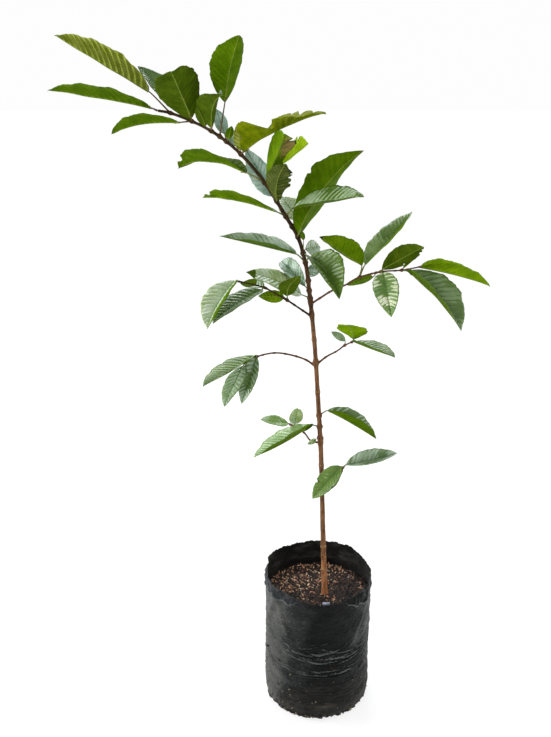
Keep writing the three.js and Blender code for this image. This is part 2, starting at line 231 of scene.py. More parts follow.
# Each underside gets a darker copy of its tints for the flanks of its ribs, as painted shade.
for tint, (deep, pale) in UNDER_TINTS.items():
    shade = {"olive": 0.26, "grey": 0.4, "yellow": 0.14}.get(tint, 0.08)
    flank = mixed(deep, SHADE, shade), mixed(pale, SHADE, shade)
    leaf_finish["under", tint] = leaf_skin(f"guava_leaf_matt_underside_{tint}", deep, pale, 0.6, 0.012, 0.2)
    leaf_finish["under flank", tint] = leaf_skin(f"guava_leaf_rib_flank_{tint}", *flank, 0.6, 0.012, 0.2)
leaf_finish |= {
    ("bright crest", "sunlit"): leaf_skin("guava_leaf_wax_in_glare", "#c4d29a", "#f0f4da", 0.3, 0.7, 0.3),
    ("rib", "top"): leaf_skin("guava_leaf_midrib_top", "#5c7a3c", "#7c965a", 0.42, 0.4, 0.1),
    ("rib", "under"): leaf_skin("guava_leaf_midrib_under", "#66761a", "#7e8a2c", 0.5, 0.2, 0.1),
    "brown": leaf_skin("guava_leaf_dry_patch", "#625426", "#948444", 0.8, 0.2, 0.5),
    "dark": leaf_skin("guava_leaf_scorched_edge", "#1c2614", "#38401f", 0.7, 0.2, 0.4),
}
print("leaf finishes", len(leaf_finish))

# %% [markdown]
# Limbs and leaves follow the rule that made the solids, written again here. A limb is a smooth curve through
# a few points, and a distance along it is a length in millimetres. The curve is the centripetal kind, which
# doesn't overshoot where points lie close together. It is turned into a fine line once, and each later
# question about a place on it is a lookup in that line.

# %% Curves of the limbs
SPAN_POINTS = 48  # points of the fine line between two points of a route


def direction(turn, rise):
    """A unit direction: turn goes round from +X towards +Y, rise goes up from level, in degrees."""
    t, r = math.radians(turn), math.radians(rise)
    return np.array([math.cos(r) * math.cos(t), math.cos(r) * math.sin(t), math.sin(r)])


def unit(vectors):
    """Vectors at length 1."""
    return vectors / np.linalg.norm(vectors, axis=-1, keepdims=True)


def smooth_line(route):
    """A centripetal Catmull-Rom curve through the route's points, as a fine line of points."""
    points = [np.array(p, float) for p in route]
    points = [2 * points[0] - points[1], *points, 2 * points[-1] - points[-2]]
    line = []
    for p0, p1, p2, p3 in zip(points, points[1:], points[2:], points[3:]):
        before, here, after = [
            max(1e-4, np.linalg.norm(b - a) ** 0.5) for a, b in ((p0, p1), (p1, p2), (p2, p3))
        ]
        out = ((p1 - p0) / before - (p2 - p0) / (before + here) + (p2 - p1) / here) * here
        into = ((p2 - p1) / here - (p3 - p1) / (here + after) + (p3 - p2) / after) * here
        bend, turn = 3 * (p2 - p1) - 2 * out - into, 2 * (p1 - p2) + out + into
        line += [p1 + out * s + bend * s**2 + turn * s**3 for s in np.arange(SPAN_POINTS) / SPAN_POINTS]
    return np.array([*line, points[-2]])


def make_limb(route, **sizes):
    """A limb: its line, how far along it each point is, its length and the sizes that give its radius."""
    line = smooth_line(route)
    far = np.concatenate([[0], np.cumsum(np.linalg.norm(np.diff(line, axis=0), axis=1))])
    return {"line": line, "far": far, "length": far[-1], **sizes}


def place_on(limb, distance):
    """The point or points at a distance along a limb. Past its end the limb runs straight on."""
    distance = np.asarray(distance, float)
    inside = np.clip(distance, 0, limb["length"])
    point = np.stack([np.interp(inside, limb["far"], limb["line"][:, k]) for k in range(3)], -1)
    tip = unit(limb["line"][-1] - limb["line"][-2])
    return point + np.maximum(0, distance - limb["length"])[..., None] * tip


def radius_at(limb, distance):
    """The limb's radius: it thins by a power of the length that is left, and flares at its foot."""
    left = np.clip(1 - distance / limb["length"], 0, 1)
    flare = limb["flare"] * np.exp(-distance / limb["flare_length"])
    return limb["end"] + (limb["start"] - limb["end"]) * left ** limb["taper"] + flare


STEM = {"start": 4, "end": 1.1, "taper": 1.4, "flare": 1.4, "flare_length": 9}
BOUGH = {"start": 1.7, "end": 1.1, "taper": 1, "flare": 0.7, "flare_length": 4}
STALK = {"start": 1.1, "end": 0.65, "taper": 1, "flare": 0.45, "flare_length": 2.0}
MIX_TOP = 172
STEM_ROUTE = [(9, -17, MIX_TOP + 0.3), (5, -15, 267), (1, -10, 375), (-4, -6, 456), (-10, -3, 537)]
STEM_ROUTE += [(-17, 0, 602), (-23, 0, 644), (-33, 0, 677), (-49, 0, 704), (-75, 0, 745)]
STEM_ROUTE += [(-104, 0, 779), (-139, -1, 806), (-187, -5, 827), (-203, -7, 830)]
stem = make_limb(STEM_ROUTE, **STEM)
print("stem length in mm", round(stem["length"], 1))

# %% [markdown]
# Every leaf that can be told apart in the picture is one row: where its stalk leaves the limb, the stalk's
# length, turn and rise, the blade's length and width, its turn, rise and roll, how far its halves fold up
# from the midrib, and how much it bows and sweeps aside. Then come its looks: the tints of both faces, how
# much of its crests carry painted glare and how bright it is, how deep its ribs are, a cut tip, bites and
# spots. A top may wear an underside's tint, which is matt. A bite is its side, its place along the blade,
# its reach and its depth, as shares, and one of less than no depth is a lobe that stands out. A spot is its
# kind, its place and its reach, both along and across: brown and dark ones are dead, and a turned one shows
# the other face, where the blade curls over.

# %% The leaves of the stem, one row each
WHOLE = {"top": "mid", "under": "mid", "worn": 0.4, "wax": "bright", "ribs": 1.0, "cut": 1.0}
WHOLE |= {"bites": [], "spots": []}


def leaf(at, stalk, size, aim, fold, bow=0.0, sweep=0.0, **looks):
    """One leaf. The looks that a row leaves out are those of a whole leaf with some painted glare on its
    crests.
    """
    row = {"at": at, "stalk": stalk, "length": size[0], "width": size[1], "aim": aim, "fold": fold}
    return {**WHOLE, **row, "bow": bow, "sweep": sweep, **looks}


STEM_LEAVES = [
    leaf(235, (6, 177, -18), (15, 8), (-147, -15, -80), 25, top="sunlit", under="lime"),
    leaf(251, (10, 160, 5), (105, 49), (-138, -9, 20), 30, -0.02, 0.01, top="fresh", worn=0.5, wax="soft"),
    leaf(251, (10, -178, 18), (15, 7), (-159, -32, -10), 15, top="fresh", under="bright"),
    leaf(267, (13, 18, 25), (93, 36), (22, -35, 23), 62, 0.05, 0.06, worn=0.5),
    leaf(427, (15, 136, 8), (79, 41), (-171, 24, -26), 10, 0.03, 0.05, top="cream", under="dark", worn=0.6,
        spots=[("turned", 0.97, 0, 0.13, 1.6)], bites=[(-1, 0.86, 0.12, -0.5)]),
    leaf(437, (9, 132, 30), (77, 34), (114, 14, -33), 50, 0.07, top="blue", worn=0.6),
    leaf(450, (6, 76, 50), (32, 16), (58, 25, 35), 15, top="blue"),
    leaf(474, (15, 169, 42), (100, 46), (-176, 14, -8), 26, top="pale", worn=0.95,
        bites=[(-1, 0.5, 0.5, -0.6)]),
    leaf(474, (13, -56, 42), (110, 54), (-73, -16, 10), 45, 0.02, -0.05, top="satin", worn=0.35),
    leaf(486, (7, 53, 40), (30, 15), (48, -3, 70), 15, 0, -0.04, top="pale", worn=0.9,
        bites=[(1, 0.5, 0.6, -0.9), (-1, 0.5, 0.6, -0.3)]),
    leaf(486, (18, -88, 76), (14, 7), (-133, 69, 35), 25),
    leaf(508, (9, -84, 31), (129, 68), (-10, 53, -58), 48, 0.08, 0.04, bites=[(1, 0.3, 0.3, 0.25),
        (-1, 0.35, 0.35, -0.6), (1, 0.52, 0.022, 0.09)]),
    leaf(523, (11, 42, 37), (46, 22), (122, 34, -25), 20, 0, 0.03, top="cream", under="cream", worn=0.95,
        bites=[(1, 0.5, 0.6, -0.5), (-1, 0.5, 0.6, -0.5)]),
    leaf(538, (14, 162, 23), (119, 54), (145, 5, 23), 15, 0.02, -0.05, top="pale", under="bright", worn=0.8,
        bites=[(-1, 0.86, 0.05, 0.5)], cut=0.97),
    leaf(538, (17, -41, 43), (107, 57), (-40, 12, 19), 25, -0.01, -0.02, top="satin", worn=0.5),
    leaf(560, (10, 110, 30), (69, 32), (158, 56, -75), 30, top="frost", worn=0.3),
    leaf(560, (8, -89, 13), (71, 34), (-78, 43, -30), 22, 0, 0.07, under="grey", ribs=1.6,
        bites=[(-1, 0.2, 0.22, 0.4), (-1, 0.5, 0.03, 0.16), (-1, 0.63, 0.03, 0.2), (-1, 0.78, 0.1, -0.35),
        (-1, 0.74, 0.02, 0.25)], spots=[("dark", 0.8, -1.0, 0.1, 0.2)]),
    leaf(560, (43, 51, 83), (56, 26), (43, 26, -48), 15, top="lime", under="glowing",
        bites=[(1, 0.72, 0.4, -1.3), (1, 0.62, 0.03, 0.4), (-1, 0.7, 0.3, -0.4)]),
    leaf(587, (27, 161, 25), (122, 60), (140, -1, 14), 23, 0.08, -0.09, top="dark",
        bites=[(-1, 0.84, 0.06, 0.45)], cut=0.96),
    leaf(587, (7, -52, 46), (114, 52), (-78, 31, -36), 50, 0.04, under="bright",
        spots=[("brown", 0.63, -0.6, 0.24, 0.42), ("dark", 0.7, -1.0, 0.05, 0.1)],
        bites=[(-1, 0.36, 0.3, 0.5), (-1, 0.78, 0.03, 0.4)]),
    leaf(632, (8, -59, 22), (116, 71), (-24, 24, 6), 25, 0.05, 0.05, top="olive", under="yellow",
        bites=[(1, 0.31, 0.15, -0.8), (1, 0.47, 0.1, 0.6), (-1, 0.22, 0.2, 0.5), (-1, 0.6, 0.02, 0.2),
        (-1, 0.73, 0.05, 0.5), (1, 0.82, 0.08, 0.45), (-1, 0.87, 0.03, 0.3)]),
    leaf(632, (5, -96, 68), (35, 16), (-99, 73, 23), 24, under="olive"),
    leaf(655, (11, 112, 52), (36, 17), (119, 53, -25), 20, top="frost", worn=0.2),
    leaf(655, (7, -63, 24), (22, 11), (-72, 48, 0), 17),
    leaf(655, (7, 113, -7), (37, 18), (55, -10, 65), 29, 0.04, -0.05, top="blue", worn=0.6),
    leaf(665, (42, -45, 75), (109, 52), (-75, 40, 4), 43, 0.04, 0.01),
    leaf(677, (8, -82, 27), (84, 42), (-76, 28, 15), 48, 0.09, 0.02, under="dark"),
    leaf(677, (10, -142, 36), (34, 16), (-111, 44, 28), 24, 0, -0.03, under="dark"),
    leaf(703, (15, -160, -5), (101, 46), (155, -9, 8), 23, 0.04, -0.08),
    leaf(703, (8, -87, 26), (105, 58), (-98, 30, 25), 28, 0.1, 0, under="dark"),
    leaf(703, (6, 106, 30), (88, 40), (169, 43, -31), 23, worn=0.1),
    leaf(730, (35, -178, 45), (128, 73), (173, 30, 12), 33, -0.01, -0.03, under="olive", ribs=1.4),
]
TIP_LEAF = leaf(0, (7, -171, 24), (130, 70), (172, 9, 8), 20, 0, -0.1)
stem_joints = sorted({one["at"] for one in STEM_LEAVES})
print("leaves on the stem", len(STEM_LEAVES) + 1, "from joints", len(stem_joints))

# %% [markdown]
# The six boughs carry the other leaves. Each has its route, which starts on the stem's own line, and its
# leaves by their distance along it. The solids split each bough from its mass of leaves. Here the whole bough
# is one piece of bark, and the leaves are another, which is how a modeller would hand them on.

# %% The boughs and their leaves
BOUGHS = {
    "low_right": (
        [(4, -12, 333), (18, -13, 337), (27, -15, 355), (31, -17, 369)],
        leaf(49, (5, 38, 23), (77, 35), (19, 5, 42), 52, 0.01, 0.02, top="pale", worn=0.8),
        leaf(49, (5, -126, 25), (62, 31), (178, -51, -50), 28, 0.01, -0.01, top="satin", worn=0.0, wax="soft",
            bites=[(1, 0.62, 0.035, 0.2)], spots=[("dark", 0.41, -0.98, 0.05, 0.16),
            ("dark", 0.6, 0.95, 0.03, 0.3)]),
    ),
    "low_left": (
        [(-1, -8, 400), (-13, -7, 402), (-22, -3, 412), (-39, 5, 420), (-43, 8, 421)],
        leaf(50, (5, 120, 0), (44, 23), (-152, 17, -22), 15, -0.02, 0.01, top="fresh", worn=0.6),
        leaf(46, (4, -17, 26), (35, 19), (-77, 63, 176), 4, -0.02, 0, top="cream", worn=0.2, cut=0.93),
    ),
    "middle_left": (
        [(-11, -4, 509), (-22, -6, 517), (-47, -11, 526), (-63, -13, 528), (-85, -16, 524), (-107, -20, 514)],
        leaf(80, (3, 180, 20), (99, 46), (-129, -9, 14), 23, -0.02, 0.02, top="satin", worn=0.3, wax="soft"),
        leaf(80, (4, -100, 10), (64, 28), (-144, -68, -39), 36, worn=0.6),
        leaf(95, (7, -156, -47), (69, 32), (-112, -31, 17), 10, top="pale", worn=0.7, wax="soft"),
    ),
    "middle_right": (
        [(-5, -3, 511), (7, -1, 520), (20, 0, 527), (30, 2, 534), (41, 3, 539)],
        leaf(42, (6, 71, 68), (23, 11), (-174, 35, 80), 24, top="pale", under="pale"),
        leaf(53, (6, -62, 56), (64, 40), (-102, 31, 0), 10, 0.03, under="young", bites=[(1, 0.12, 0.3, 0.5),
            (-1, 0.06, 0.12, 0.3), (1, 0.85, 0.2, -0.3)]),
        leaf(53, (8, 65, -13), (72, 39), (-49, -4, -10), 25, -0.01, -0.01, top="satin", worn=0.5, wax="soft"),
    ),
    "upper_left": (
        [(-16, -1, 575), (-28, -4, 584), (-46, -8, 597), (-59, -10, 605), (-76, -13, 615), (-97, -16, 621),
         (-109, -18, 624)],
        leaf(38, (6, -2, 87), (55, 26), (-69, 39, -7), 10, 0, 0.1, under="dark"),
        leaf(38, (9, 117, 16), (36, 17), (158, -3, 100), 14, under="bright"),
        leaf(70, (9, 106, 2), (42, 19), (139, -2, -30), 21, top="pale", under="dark", worn=0.5,
            spots=[("turned", 0.75, 0, 0.42, 1.6)]),
        leaf(74, (4, -116, -39), (87, 40), (-136, -19, 0), 19, 0.02, 0.02, worn=0.7, wax="soft"),
        leaf(106, (4, -171, 16), (91, 44), (-113, -28, 11), 31, 0.02, 0.05, top="cream", worn=0.85,
            spots=[("turned", 0.5, -0.8, 0.5, 0.25)]),
    ),
    "upper_right": (
        [(-14, 0, 591), (-3, -2, 599), (10, -4, 608), (28, -8, 617), (43, -12, 627), (71, -18, 636),
         (97, -22, 639), (120, -25, 644)],
        leaf(71, (15, 7, 80), (87, 41), (-139, 31, 28), 39, under="bright",
            spots=[("dark", 0.98, 0, 0.05, 1.2)]),
        leaf(71, (18, 30, 62), (101, 44), (39, 36, -8), 29, 0, 0.06, top="satin", under="bright", worn=0.8,
            wax="soft", spots=[("turned", 0.42, 0.62, 0.5, 0.42)]),
        leaf(93, (10, 112, -43), (36, 16), (163, -21, -31), 10, top="bright", under="dark"),
        leaf(99, (4, -55, 55), (74, 34), (-48, 30, -62), 42, 0.02, under="dark", bites=[(-1, 0.8, 0.04, 0.4),
            (-1, 0.34, 0.03, 0.25), (-1, 0.9, 0.03, 0.4)]),
        leaf(99, (6, -73, 0), (72, 35), (-85, -35, 14), 25, top="sunlit", worn=0.45, ribs=1.4),
        leaf(125, (4, 39, 45), (32, 15), (22, 39, -35), 30, -0.04),
        leaf(125, (8, -28, -3), (107, 64), (-51, -33, -10), 37, 0.01, -0.07, worn=0.3, wax="soft", ribs=1.3),
        leaf(148, (4, 73, -17), (100, 44), (12, -17, -1), 43, 0.03, 0.07, top="young", under="young"),
    ),
}
bough_limbs = {name: make_limb(route, **BOUGH) for name, (route, *_) in BOUGHS.items()}
print("leaves on the boughs", sum(len(leaves) for _, *leaves in BOUGHS.values()))

# %% [markdown]
# All meshes of the plant and its bag are made from arrays of points and four-cornered faces. That is the
# fastest way to make many parts that are alike but never the same. The helpers give smooth random relief from
# a few sine waves, soft humps, points round an upright axis, the faces of a closed round shell and of a thin
# sheet, and a closed tube round a line.

# %% Relief, shells, sheets and tubes
WAVES = 8  # sine waves in a relief


def ripple(places, length, seed):
    """Smooth random relief, mostly from -1 to 1: sine waves of about one length in random directions."""
    dice = np.random.default_rng(seed)
    total = np.zeros(np.shape(places)[:-1])
    for _ in range(WAVES):
        aim = unit(dice.normal(size=3)) * 2 * math.pi / (length * dice.uniform(0.7, 1.4))
        total += np.sin(places @ aim + dice.uniform(0, 2 * math.pi))
    return total / math.sqrt(WAVES)


def bell(off):
    """A soft hump, 1 at nought and next to nothing past 2."""
    return np.exp(-(off**2))


def round_axis(radius, angle, height):
    """Points at a radius and an angle round the upright axis, and a height."""
    return np.stack(np.broadcast_arrays(radius * np.cos(angle), radius * np.sin(angle), height), -1)


def shell_faces(rings, sides):
    """The faces between rings of corners, and those that close the first and the last ring."""
    i, j = np.meshgrid(np.arange(rings - 1), np.arange(sides), indexing="ij")
    a, b = i * sides + j, i * sides + (j + 1) % sides
    walls = np.stack([a, b, b + sides, a + sides], -1).reshape(-1, 4)
    low = np.arange(sides // 2 - 1)
    cap = np.stack([low, low + 1, sides - 2 - low, sides - 1 - low], -1)
    return np.concatenate([walls, cap[:, ::-1], cap + (rings - 1) * sides])


def sheet_faces(rows, count):
    """The faces of a thin closed sheet: the upper side, the lower side and the rims between them."""
    a = (np.arange(rows - 1)[:, None] * count + np.arange(count - 1)).ravel()
    upper = np.stack([a, a + 1, a + 1 + count, a + count], -1)
    below = rows * count
    first, foot = np.arange(rows - 1) * count, np.arange(count - 1)
    last, head = first + count - 1, foot + (rows - 1) * count
    left = np.stack([first, first + count, first + count + below, first + below], -1)
    right = np.stack([last, last + below, last + count + below, last + count], -1)
    start = np.stack([foot, foot + below, foot + 1 + below, foot + 1], -1)
    end = np.stack([head, head + 1, head + 1 + below, head + below], -1)
    return upper, upper[:, ::-1] + below, np.concatenate([left, right, start, end])


def tube(line, radii, sides, relief=0.0):
    """A closed tube. Radii are one for each point of the line, and relief, in mm, one for each corner. Its
    ring of corners turns as little as possible from point to point."""
    tangent = unit(np.gradient(line, axis=0))
    here = np.array([1.0, 0, 0]) if abs(tangent[0][0]) < 0.8 else np.array([0, 1.0, 0])
    across = np.empty_like(tangent)
    for i, t in enumerate(tangent):
        here = unit(here - t * np.dot(here, t))
        across[i] = here
    ahead = np.cross(tangent, across)
    angle = 2 * math.pi * np.arange(sides)[:, None] / sides
    out = across[:, None] * np.cos(angle) + ahead[:, None] * np.sin(angle)
    points = line[:, None] + out * (radii[:, None] + relief)[..., None]
    return points.reshape(-1, 3), shell_faces(len(line), sides)


print("faces of a tube of 12 rings of 8", len(shell_faces(12, 8)))

# %% [markdown]
# A piece is joined from parts, and each of its faces has a number, which picks one of the piece's finishes.
# Every piece rides on the plant's one body, and one that stands for solids hides them.

# %% Joining a piece


def hand_over(name, mesh, replaced=()):
    """A mesh as a piece on the root, which hides the solids that it stands for."""
    piece = bpy.data.objects.new(name, mesh)
    scene.collection.objects.link(piece)
    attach(piece, "root")
    if replaced:
        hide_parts(*replaced)
    print(name, "triangles", sum(len(p.vertices) - 2 for p in mesh.polygons))


def make_piece(name, parts, finishes, replaced=()):
    """Parts of points in mm, faces of four corners and a finish number for each face, joined as one piece."""
    points, faces, numbers, offset = [], [], [], 0
    for part_points, part_faces, part_numbers in parts:
        points.append(part_points)
        faces.append(part_faces + offset)
        numbers.append(np.broadcast_to(part_numbers, len(part_faces)))
        offset += len(part_points)
    mesh = bpy.data.meshes.new(name)
    mesh.from_pydata((np.concatenate(points) * MM).tolist(), [], np.concatenate(faces).tolist())
    for finish in finishes:
        mesh.materials.append(finish)
    mesh.polygons.foreach_set("material_index", np.concatenate(numbers).astype(np.int32))
    mesh.polygons.foreach_set("use_smooth", np.ones(len(mesh.polygons), bool))
    mesh.update()
    hand_over(name, mesh, replaced)


# %% [markdown]
# A blade is a sheet with a rule. Its rows don't run straight across: each row follows a side vein, which
# leaves the midrib and curves forwards to the margin, so a few rows for each vein are enough to draw the vein
# sharp and let the skin between two veins swell into a rib. The rows crowd by the vein and spread on the rib.
# Both faces are modelled, half a millimetre apart, so each can have its own finish, and the rim closes them.

# %% The outline of a blade
THICK = 0.45  # mm
ROW_SHARES = np.array([0, 0.1, 0.3, 0.5, 0.7, 0.9])  # from one side vein to the next
COLUMN_SHARES = np.array([0, 0.1, 0.23, 0.37, 0.51, 0.65, 0.79, 0.91, 1])  # from the midrib to the margin
BASE_POWER, TIP_POWER = 0.62, 0.9


def outline(u):
    """The half width at a share of the length, 1 at the widest: it widens fast and closes to a tip."""
    widest = BASE_POWER / (BASE_POWER + TIP_POWER)
    peak = widest**BASE_POWER * (1 - widest) ** TIP_POWER
    return np.clip(u, 0, 1) ** BASE_POWER * np.clip(1 - u, 0, 1) ** TIP_POWER / peak


def half_width(one, u, side, seed):
    """The half width in mm on one side, less what is bitten or cut off, with a slightly uneven margin."""
    dice = np.random.default_rng(seed)
    wide = outline(u) * one["width"] / 2
    wide *= 1 + 0.02 * np.sin(u * 41 + dice.uniform(0, 6)) + 0.012 * np.sin(u * 97 + dice.uniform(0, 6))
    for bite_side, at, reach, depth in one["bites"]:
        if bite_side == side:
            sharp = depth > 0 and reach < 0.09
            ragged = 1 + (0.16 * np.sin(u * 260 + at * 50) + 0.1 * np.sin(u * 430)) * sharp
            inside = np.clip(1 - ((u - at) / reach) ** 2, 0, 1)
            wide *= 1 - depth * inside ** (0.45 if sharp else 1.2) * ragged
    if one["cut"] < 1:
        end = one["cut"] - (0.035 if side > 0 else 0)
        wide *= np.clip((end - u) / 0.045, 0, 1) ** 0.5
    return np.maximum(wide, 0.5 - 0.25 * u)


def vein_count(length):
    """The side veins of a blade of a length in mm."""
    return max(7, round(length / (3 + 0.038 * length)))


print("blade rows for a leaf of 100 mm", vein_count(100) * len(ROW_SHARES) + 1)

# %% [markdown]
# A leaf has eight finishes, and each face of its blade gets the number of one by where it is: the midrib, a
# crest with painted glare, a rib's flank with painted shade, or a spot. Crests with painted glare come in
# patches, with the plain top between.

# %% The finishes of a leaf
TOP, UNDER, TOP_RIB, UNDER_RIB, BROWN, DARK, CREST, FLANK = range(8)


def finishes_of(one):
    """The finishes of a leaf, by their numbers. Either face may wear the other one's tints."""
    top = "top" if one["top"] in TOP_TINTS else "under"
    under = "under" if one["under"] in UNDER_TINTS else "top"
    return [
        leaf_finish[top, one["top"]],
        leaf_finish[under, one["under"]],
        leaf_finish["rib", top],
        leaf_finish["rib", under],
        leaf_finish["brown"],
        leaf_finish["dark"],
        leaf_finish[f"{one['wax']} crest" if top == "top" else top, one["top"]],
        leaf_finish["under flank" if under == "under" else "soft crest", one["under"]],
    ]


def face_numbers(one, u, v, phase, cloud):
    """The numbers of the upper and the lower faces, from the places of their corners along and across."""
    columns = u.shape[1] - 1
    is_rib = np.tile(np.abs(np.arange(columns) - len(COLUMN_SHARES) + 0.5) < 1, len(u) - 1)
    centre_u = (u[:-1, :-1] + u[1:, 1:]).ravel() / 2
    centre_v = (v[:-1, :-1] + v[1:, 1:]).ravel() / 2
    past = np.repeat((phase[:-1] + np.where(phase[1:] > 0, phase[1:], 1)) / 2, columns)
    # Painted glare on the crests of the ribs, in patches.
    worn = (np.sin(math.pi * past) + 0.55 * cloud > 1.3 - one["worn"]) & (np.abs(centre_v) < 0.93)
    top = np.where(is_rib, TOP_RIB, np.where(worn, CREST, TOP))
    # Painted shade on the tipward half of each space between two veins underneath.
    under = np.where(is_rib, UNDER_RIB, np.where(past > 0.45, FLANK, UNDER))
    for kind, at_u, at_v, reach_u, reach_v in one["spots"]:
        frayed = 0.3 * np.sin(centre_u * 60) + 0.3 * np.sin(centre_v * 23 + centre_u * 31)
        off = ((centre_u - at_u) / reach_u) ** 2 + ((centre_v - at_v) / reach_v) ** 2
        spot = off < 1 + frayed * (kind != "turned")
        number = {"turned": UNDER, "brown": BROWN, "dark": DARK}[kind]
        top, under = (np.where(spot, number, old) for old in (top, under))
    return top, under


print("finishes of a leaf", len(finishes_of(TIP_LEAF)))

# %% [markdown]
# The blade itself is laid out flat, lifted into ribs and waves, folded along its midrib, and then bent and
# turned to where its row says. Its two faces follow one sheet of points, half the blade's thickness above it
# and below it, with the midrib and the veins sunk into the top and standing out underneath.

# %% The blade
VEIN_SWEEP = 0.14  # how far a side vein curves forwards, as a share of the length
RIB_LIFT, WAVE_LIFT, SLOW_LIFT, DROOP = 0.044, 0.022, 0.013, 0.03  # shares of half the width
WAVE_VEINS = 4.2  # veins to a wave of the margin


def blade(one, base, seed):
    """A blade's points, faces and finish numbers."""
    dice = np.random.default_rng(seed)
    length, fold = one["length"], math.radians(one["fold"])
    veins = vein_count(length)
    vein, share = np.divmod(np.arange(veins * len(ROW_SHARES) + 1), len(ROW_SHARES))
    phase = ROW_SHARES[share]
    t = (vein + phase) / veins * (min(1, one["cut"] + 0.01))
    edge_u = t + VEIN_SWEEP * 4 * t * (1 - t)
    across = np.concatenate([-COLUMN_SHARES[::-1], [0], COLUMN_SHARES])
    middle = len(COLUMN_SHARES)
    side = np.where(np.arange(len(across)) < middle, -1, 1)
    wide = np.stack([half_width(one, edge_u, -1, seed), half_width(one, edge_u, 1, seed + 1)], -1)
    wide = wide[:, (side > 0).astype(int)]
    rib = np.minimum((0.95 - 0.6 * t) * (0.4 + length / 180), 0.5 * wide.min(1))[:, None]
    d = rib + (wide - rib) * np.abs(across)[None]
    d[:, middle] = 0
    v = d / wide
    u = t[:, None] + (edge_u - t)[:, None] * v**1.15
    # The swelling between veins, the waves of the margin, slow unevenness and the drooping margin, in mm.
    size = one["width"] / 2
    swell = (1 - np.abs(2 * phase - 1) ** 2)[:, None] * np.sin(math.pi * np.clip(v, 0, 1) ** 0.75) ** 0.6
    waves = v**3 * np.sin(2 * math.pi * u * veins / WAVE_VEINS + side * 1.3 + dice.uniform(0, 6))
    flat = np.stack([u * length, d * side, np.zeros_like(u)], -1)
    lift = RIB_LIFT * size * one["ribs"] * swell + WAVE_LIFT * size * waves
    lift += SLOW_LIFT * size * ripple(flat, 45, seed) - DROOP * size * v**2.5
    # The frame of the blade, as in the solids.
    turn, rise, roll = one["aim"]
    along = direction(turn, rise)
    up = unit(np.array([0, 0, 1.0]) - along * along[2])
    normal = up * math.cos(math.radians(roll)) + np.cross(along, up) * math.sin(math.radians(roll))
    to_side = np.cross(along, normal)
    arch = 4 * u * (1 - u) * length
    aside = d * side * math.cos(fold) + arch * one["sweep"]
    rising = d * math.sin(fold) + lift + arch * one["bow"]
    sheet = base + (u * length)[..., None] * along + aside[..., None] * to_side + rising[..., None] * normal
    near_rib = bell(d / (1.3 * rib))
    near_vein = bell(np.minimum(phase, 1 - phase) / 0.08)[:, None] * (v > 0.01) * (1 - 0.6 * v)
    half = THICK / 2 * np.clip(wide / 3, 0.5, 1)
    fade = np.clip(t / 0.04, 0, 1)[:, None]
    top = sheet + (half - 0.35 * near_rib * fade - 0.1 * near_vein)[..., None] * normal
    under = sheet - (half + 0.75 * near_rib * (1.1 - t[:, None]) + 0.28 * near_vein)[..., None] * normal
    upper, lower, rims = sheet_faces(*u.shape)
    cloud = ripple(flat[:-1, :-1].reshape(-1, 3), 0.35 * length, seed + 2)
    numbers = [*face_numbers(one, u, v * side, phase, cloud), np.full(len(rims), UNDER)]
    points = np.concatenate([top.reshape(-1, 3), under.reshape(-1, 3)])
    return points, np.concatenate([upper, lower, rims]), np.concatenate(numbers)


print("points of the tip leaf", len(blade(TIP_LEAF, np.zeros(3), 1)[0]))

# %% [markdown]
# The stalk leaves the limb's own line, swells a little at its foot and bends into the blade's midrib, so no
# seam shows where they meet. Its route is the one of the solids. Its rind is green, and brown at the top of
# the stem. The leaves are joined into nine pieces, three along the stem and one for each bough, which keeps
# each under 200,000 triangles and lets a scene hide or recolour one bough at a time. Each piece stands for
# the solid masses of its leaves, and the stalks are one more piece.

# %% Leaves and stalks
LOW_JOINTS, MIDDLE_JOINTS = 8, 13  # the last joint of the lowest group and of the middle one


def leaf_base(carrier, one):
    """The start of a leaf's stalk on the limb's line and the blade's base."""
    start = place_on(carrier, one["at"])
    return start, start + direction(*one["stalk"][1:]) * one["stalk"][0]


def stalk(carrier, one):
    """A stalk as a thin tube from the limb into the blade's root."""
    start, base = leaf_base(carrier, one)
    inside = base + direction(*one["aim"][:2]) * one["length"] * 0.07
    size = 0.55 + 0.45 * min(1, one["length"] / 90)
    thin = {"start": STALK["start"] * size, "end": STALK["end"] * size}
    limb = make_limb([start, base, inside], **{**STALK, **thin})
    far = np.linspace(0, limb["length"], 12)
    return tube(place_on(limb, far), radius_at(limb, far), 8)


stalk_finish = []
for name, deep, pale in (("green", "#46621a", "#74702c"), ("brown", "#4a3014", "#6c5a2a")):
    made, tree, where = begin(f"guava_leaf_stalk_{name}")
    streaks = add(tree, "TexNoise", {"Vector": where, "Scale": 160, "Detail": 3})
    tint = add(tree, "ValToRGB", {"Fac": streaks}, [(0.38, deep), (0.66, pale)])
    stalk_finish.append(close(made, {"Base Color": tint, "Roughness": 0.5, "IOR": 1.45}))

groups = {}
for one in STEM_LEAVES:
    joint = stem_joints.index(one["at"]) + 1
    group = "stem_low" if joint <= LOW_JOINTS else "stem_middle" if joint <= MIDDLE_JOINTS else "stem_top"
    groups.setdefault(group, []).append((stem, one, f"stem_leaves_{joint:02}"))
stem_tip = stem["line"][-1]
beyond_tip = make_limb([stem_tip, stem_tip + unit(stem_tip - stem["line"][-2]) * 4])
groups["stem_top"].append((beyond_tip, TIP_LEAF, "stem_leaves_tip"))
for name, (_, *leaves) in BOUGHS.items():
    groups[name] = [(bough_limbs[name], one, f"foliage_{name}") for one in leaves]

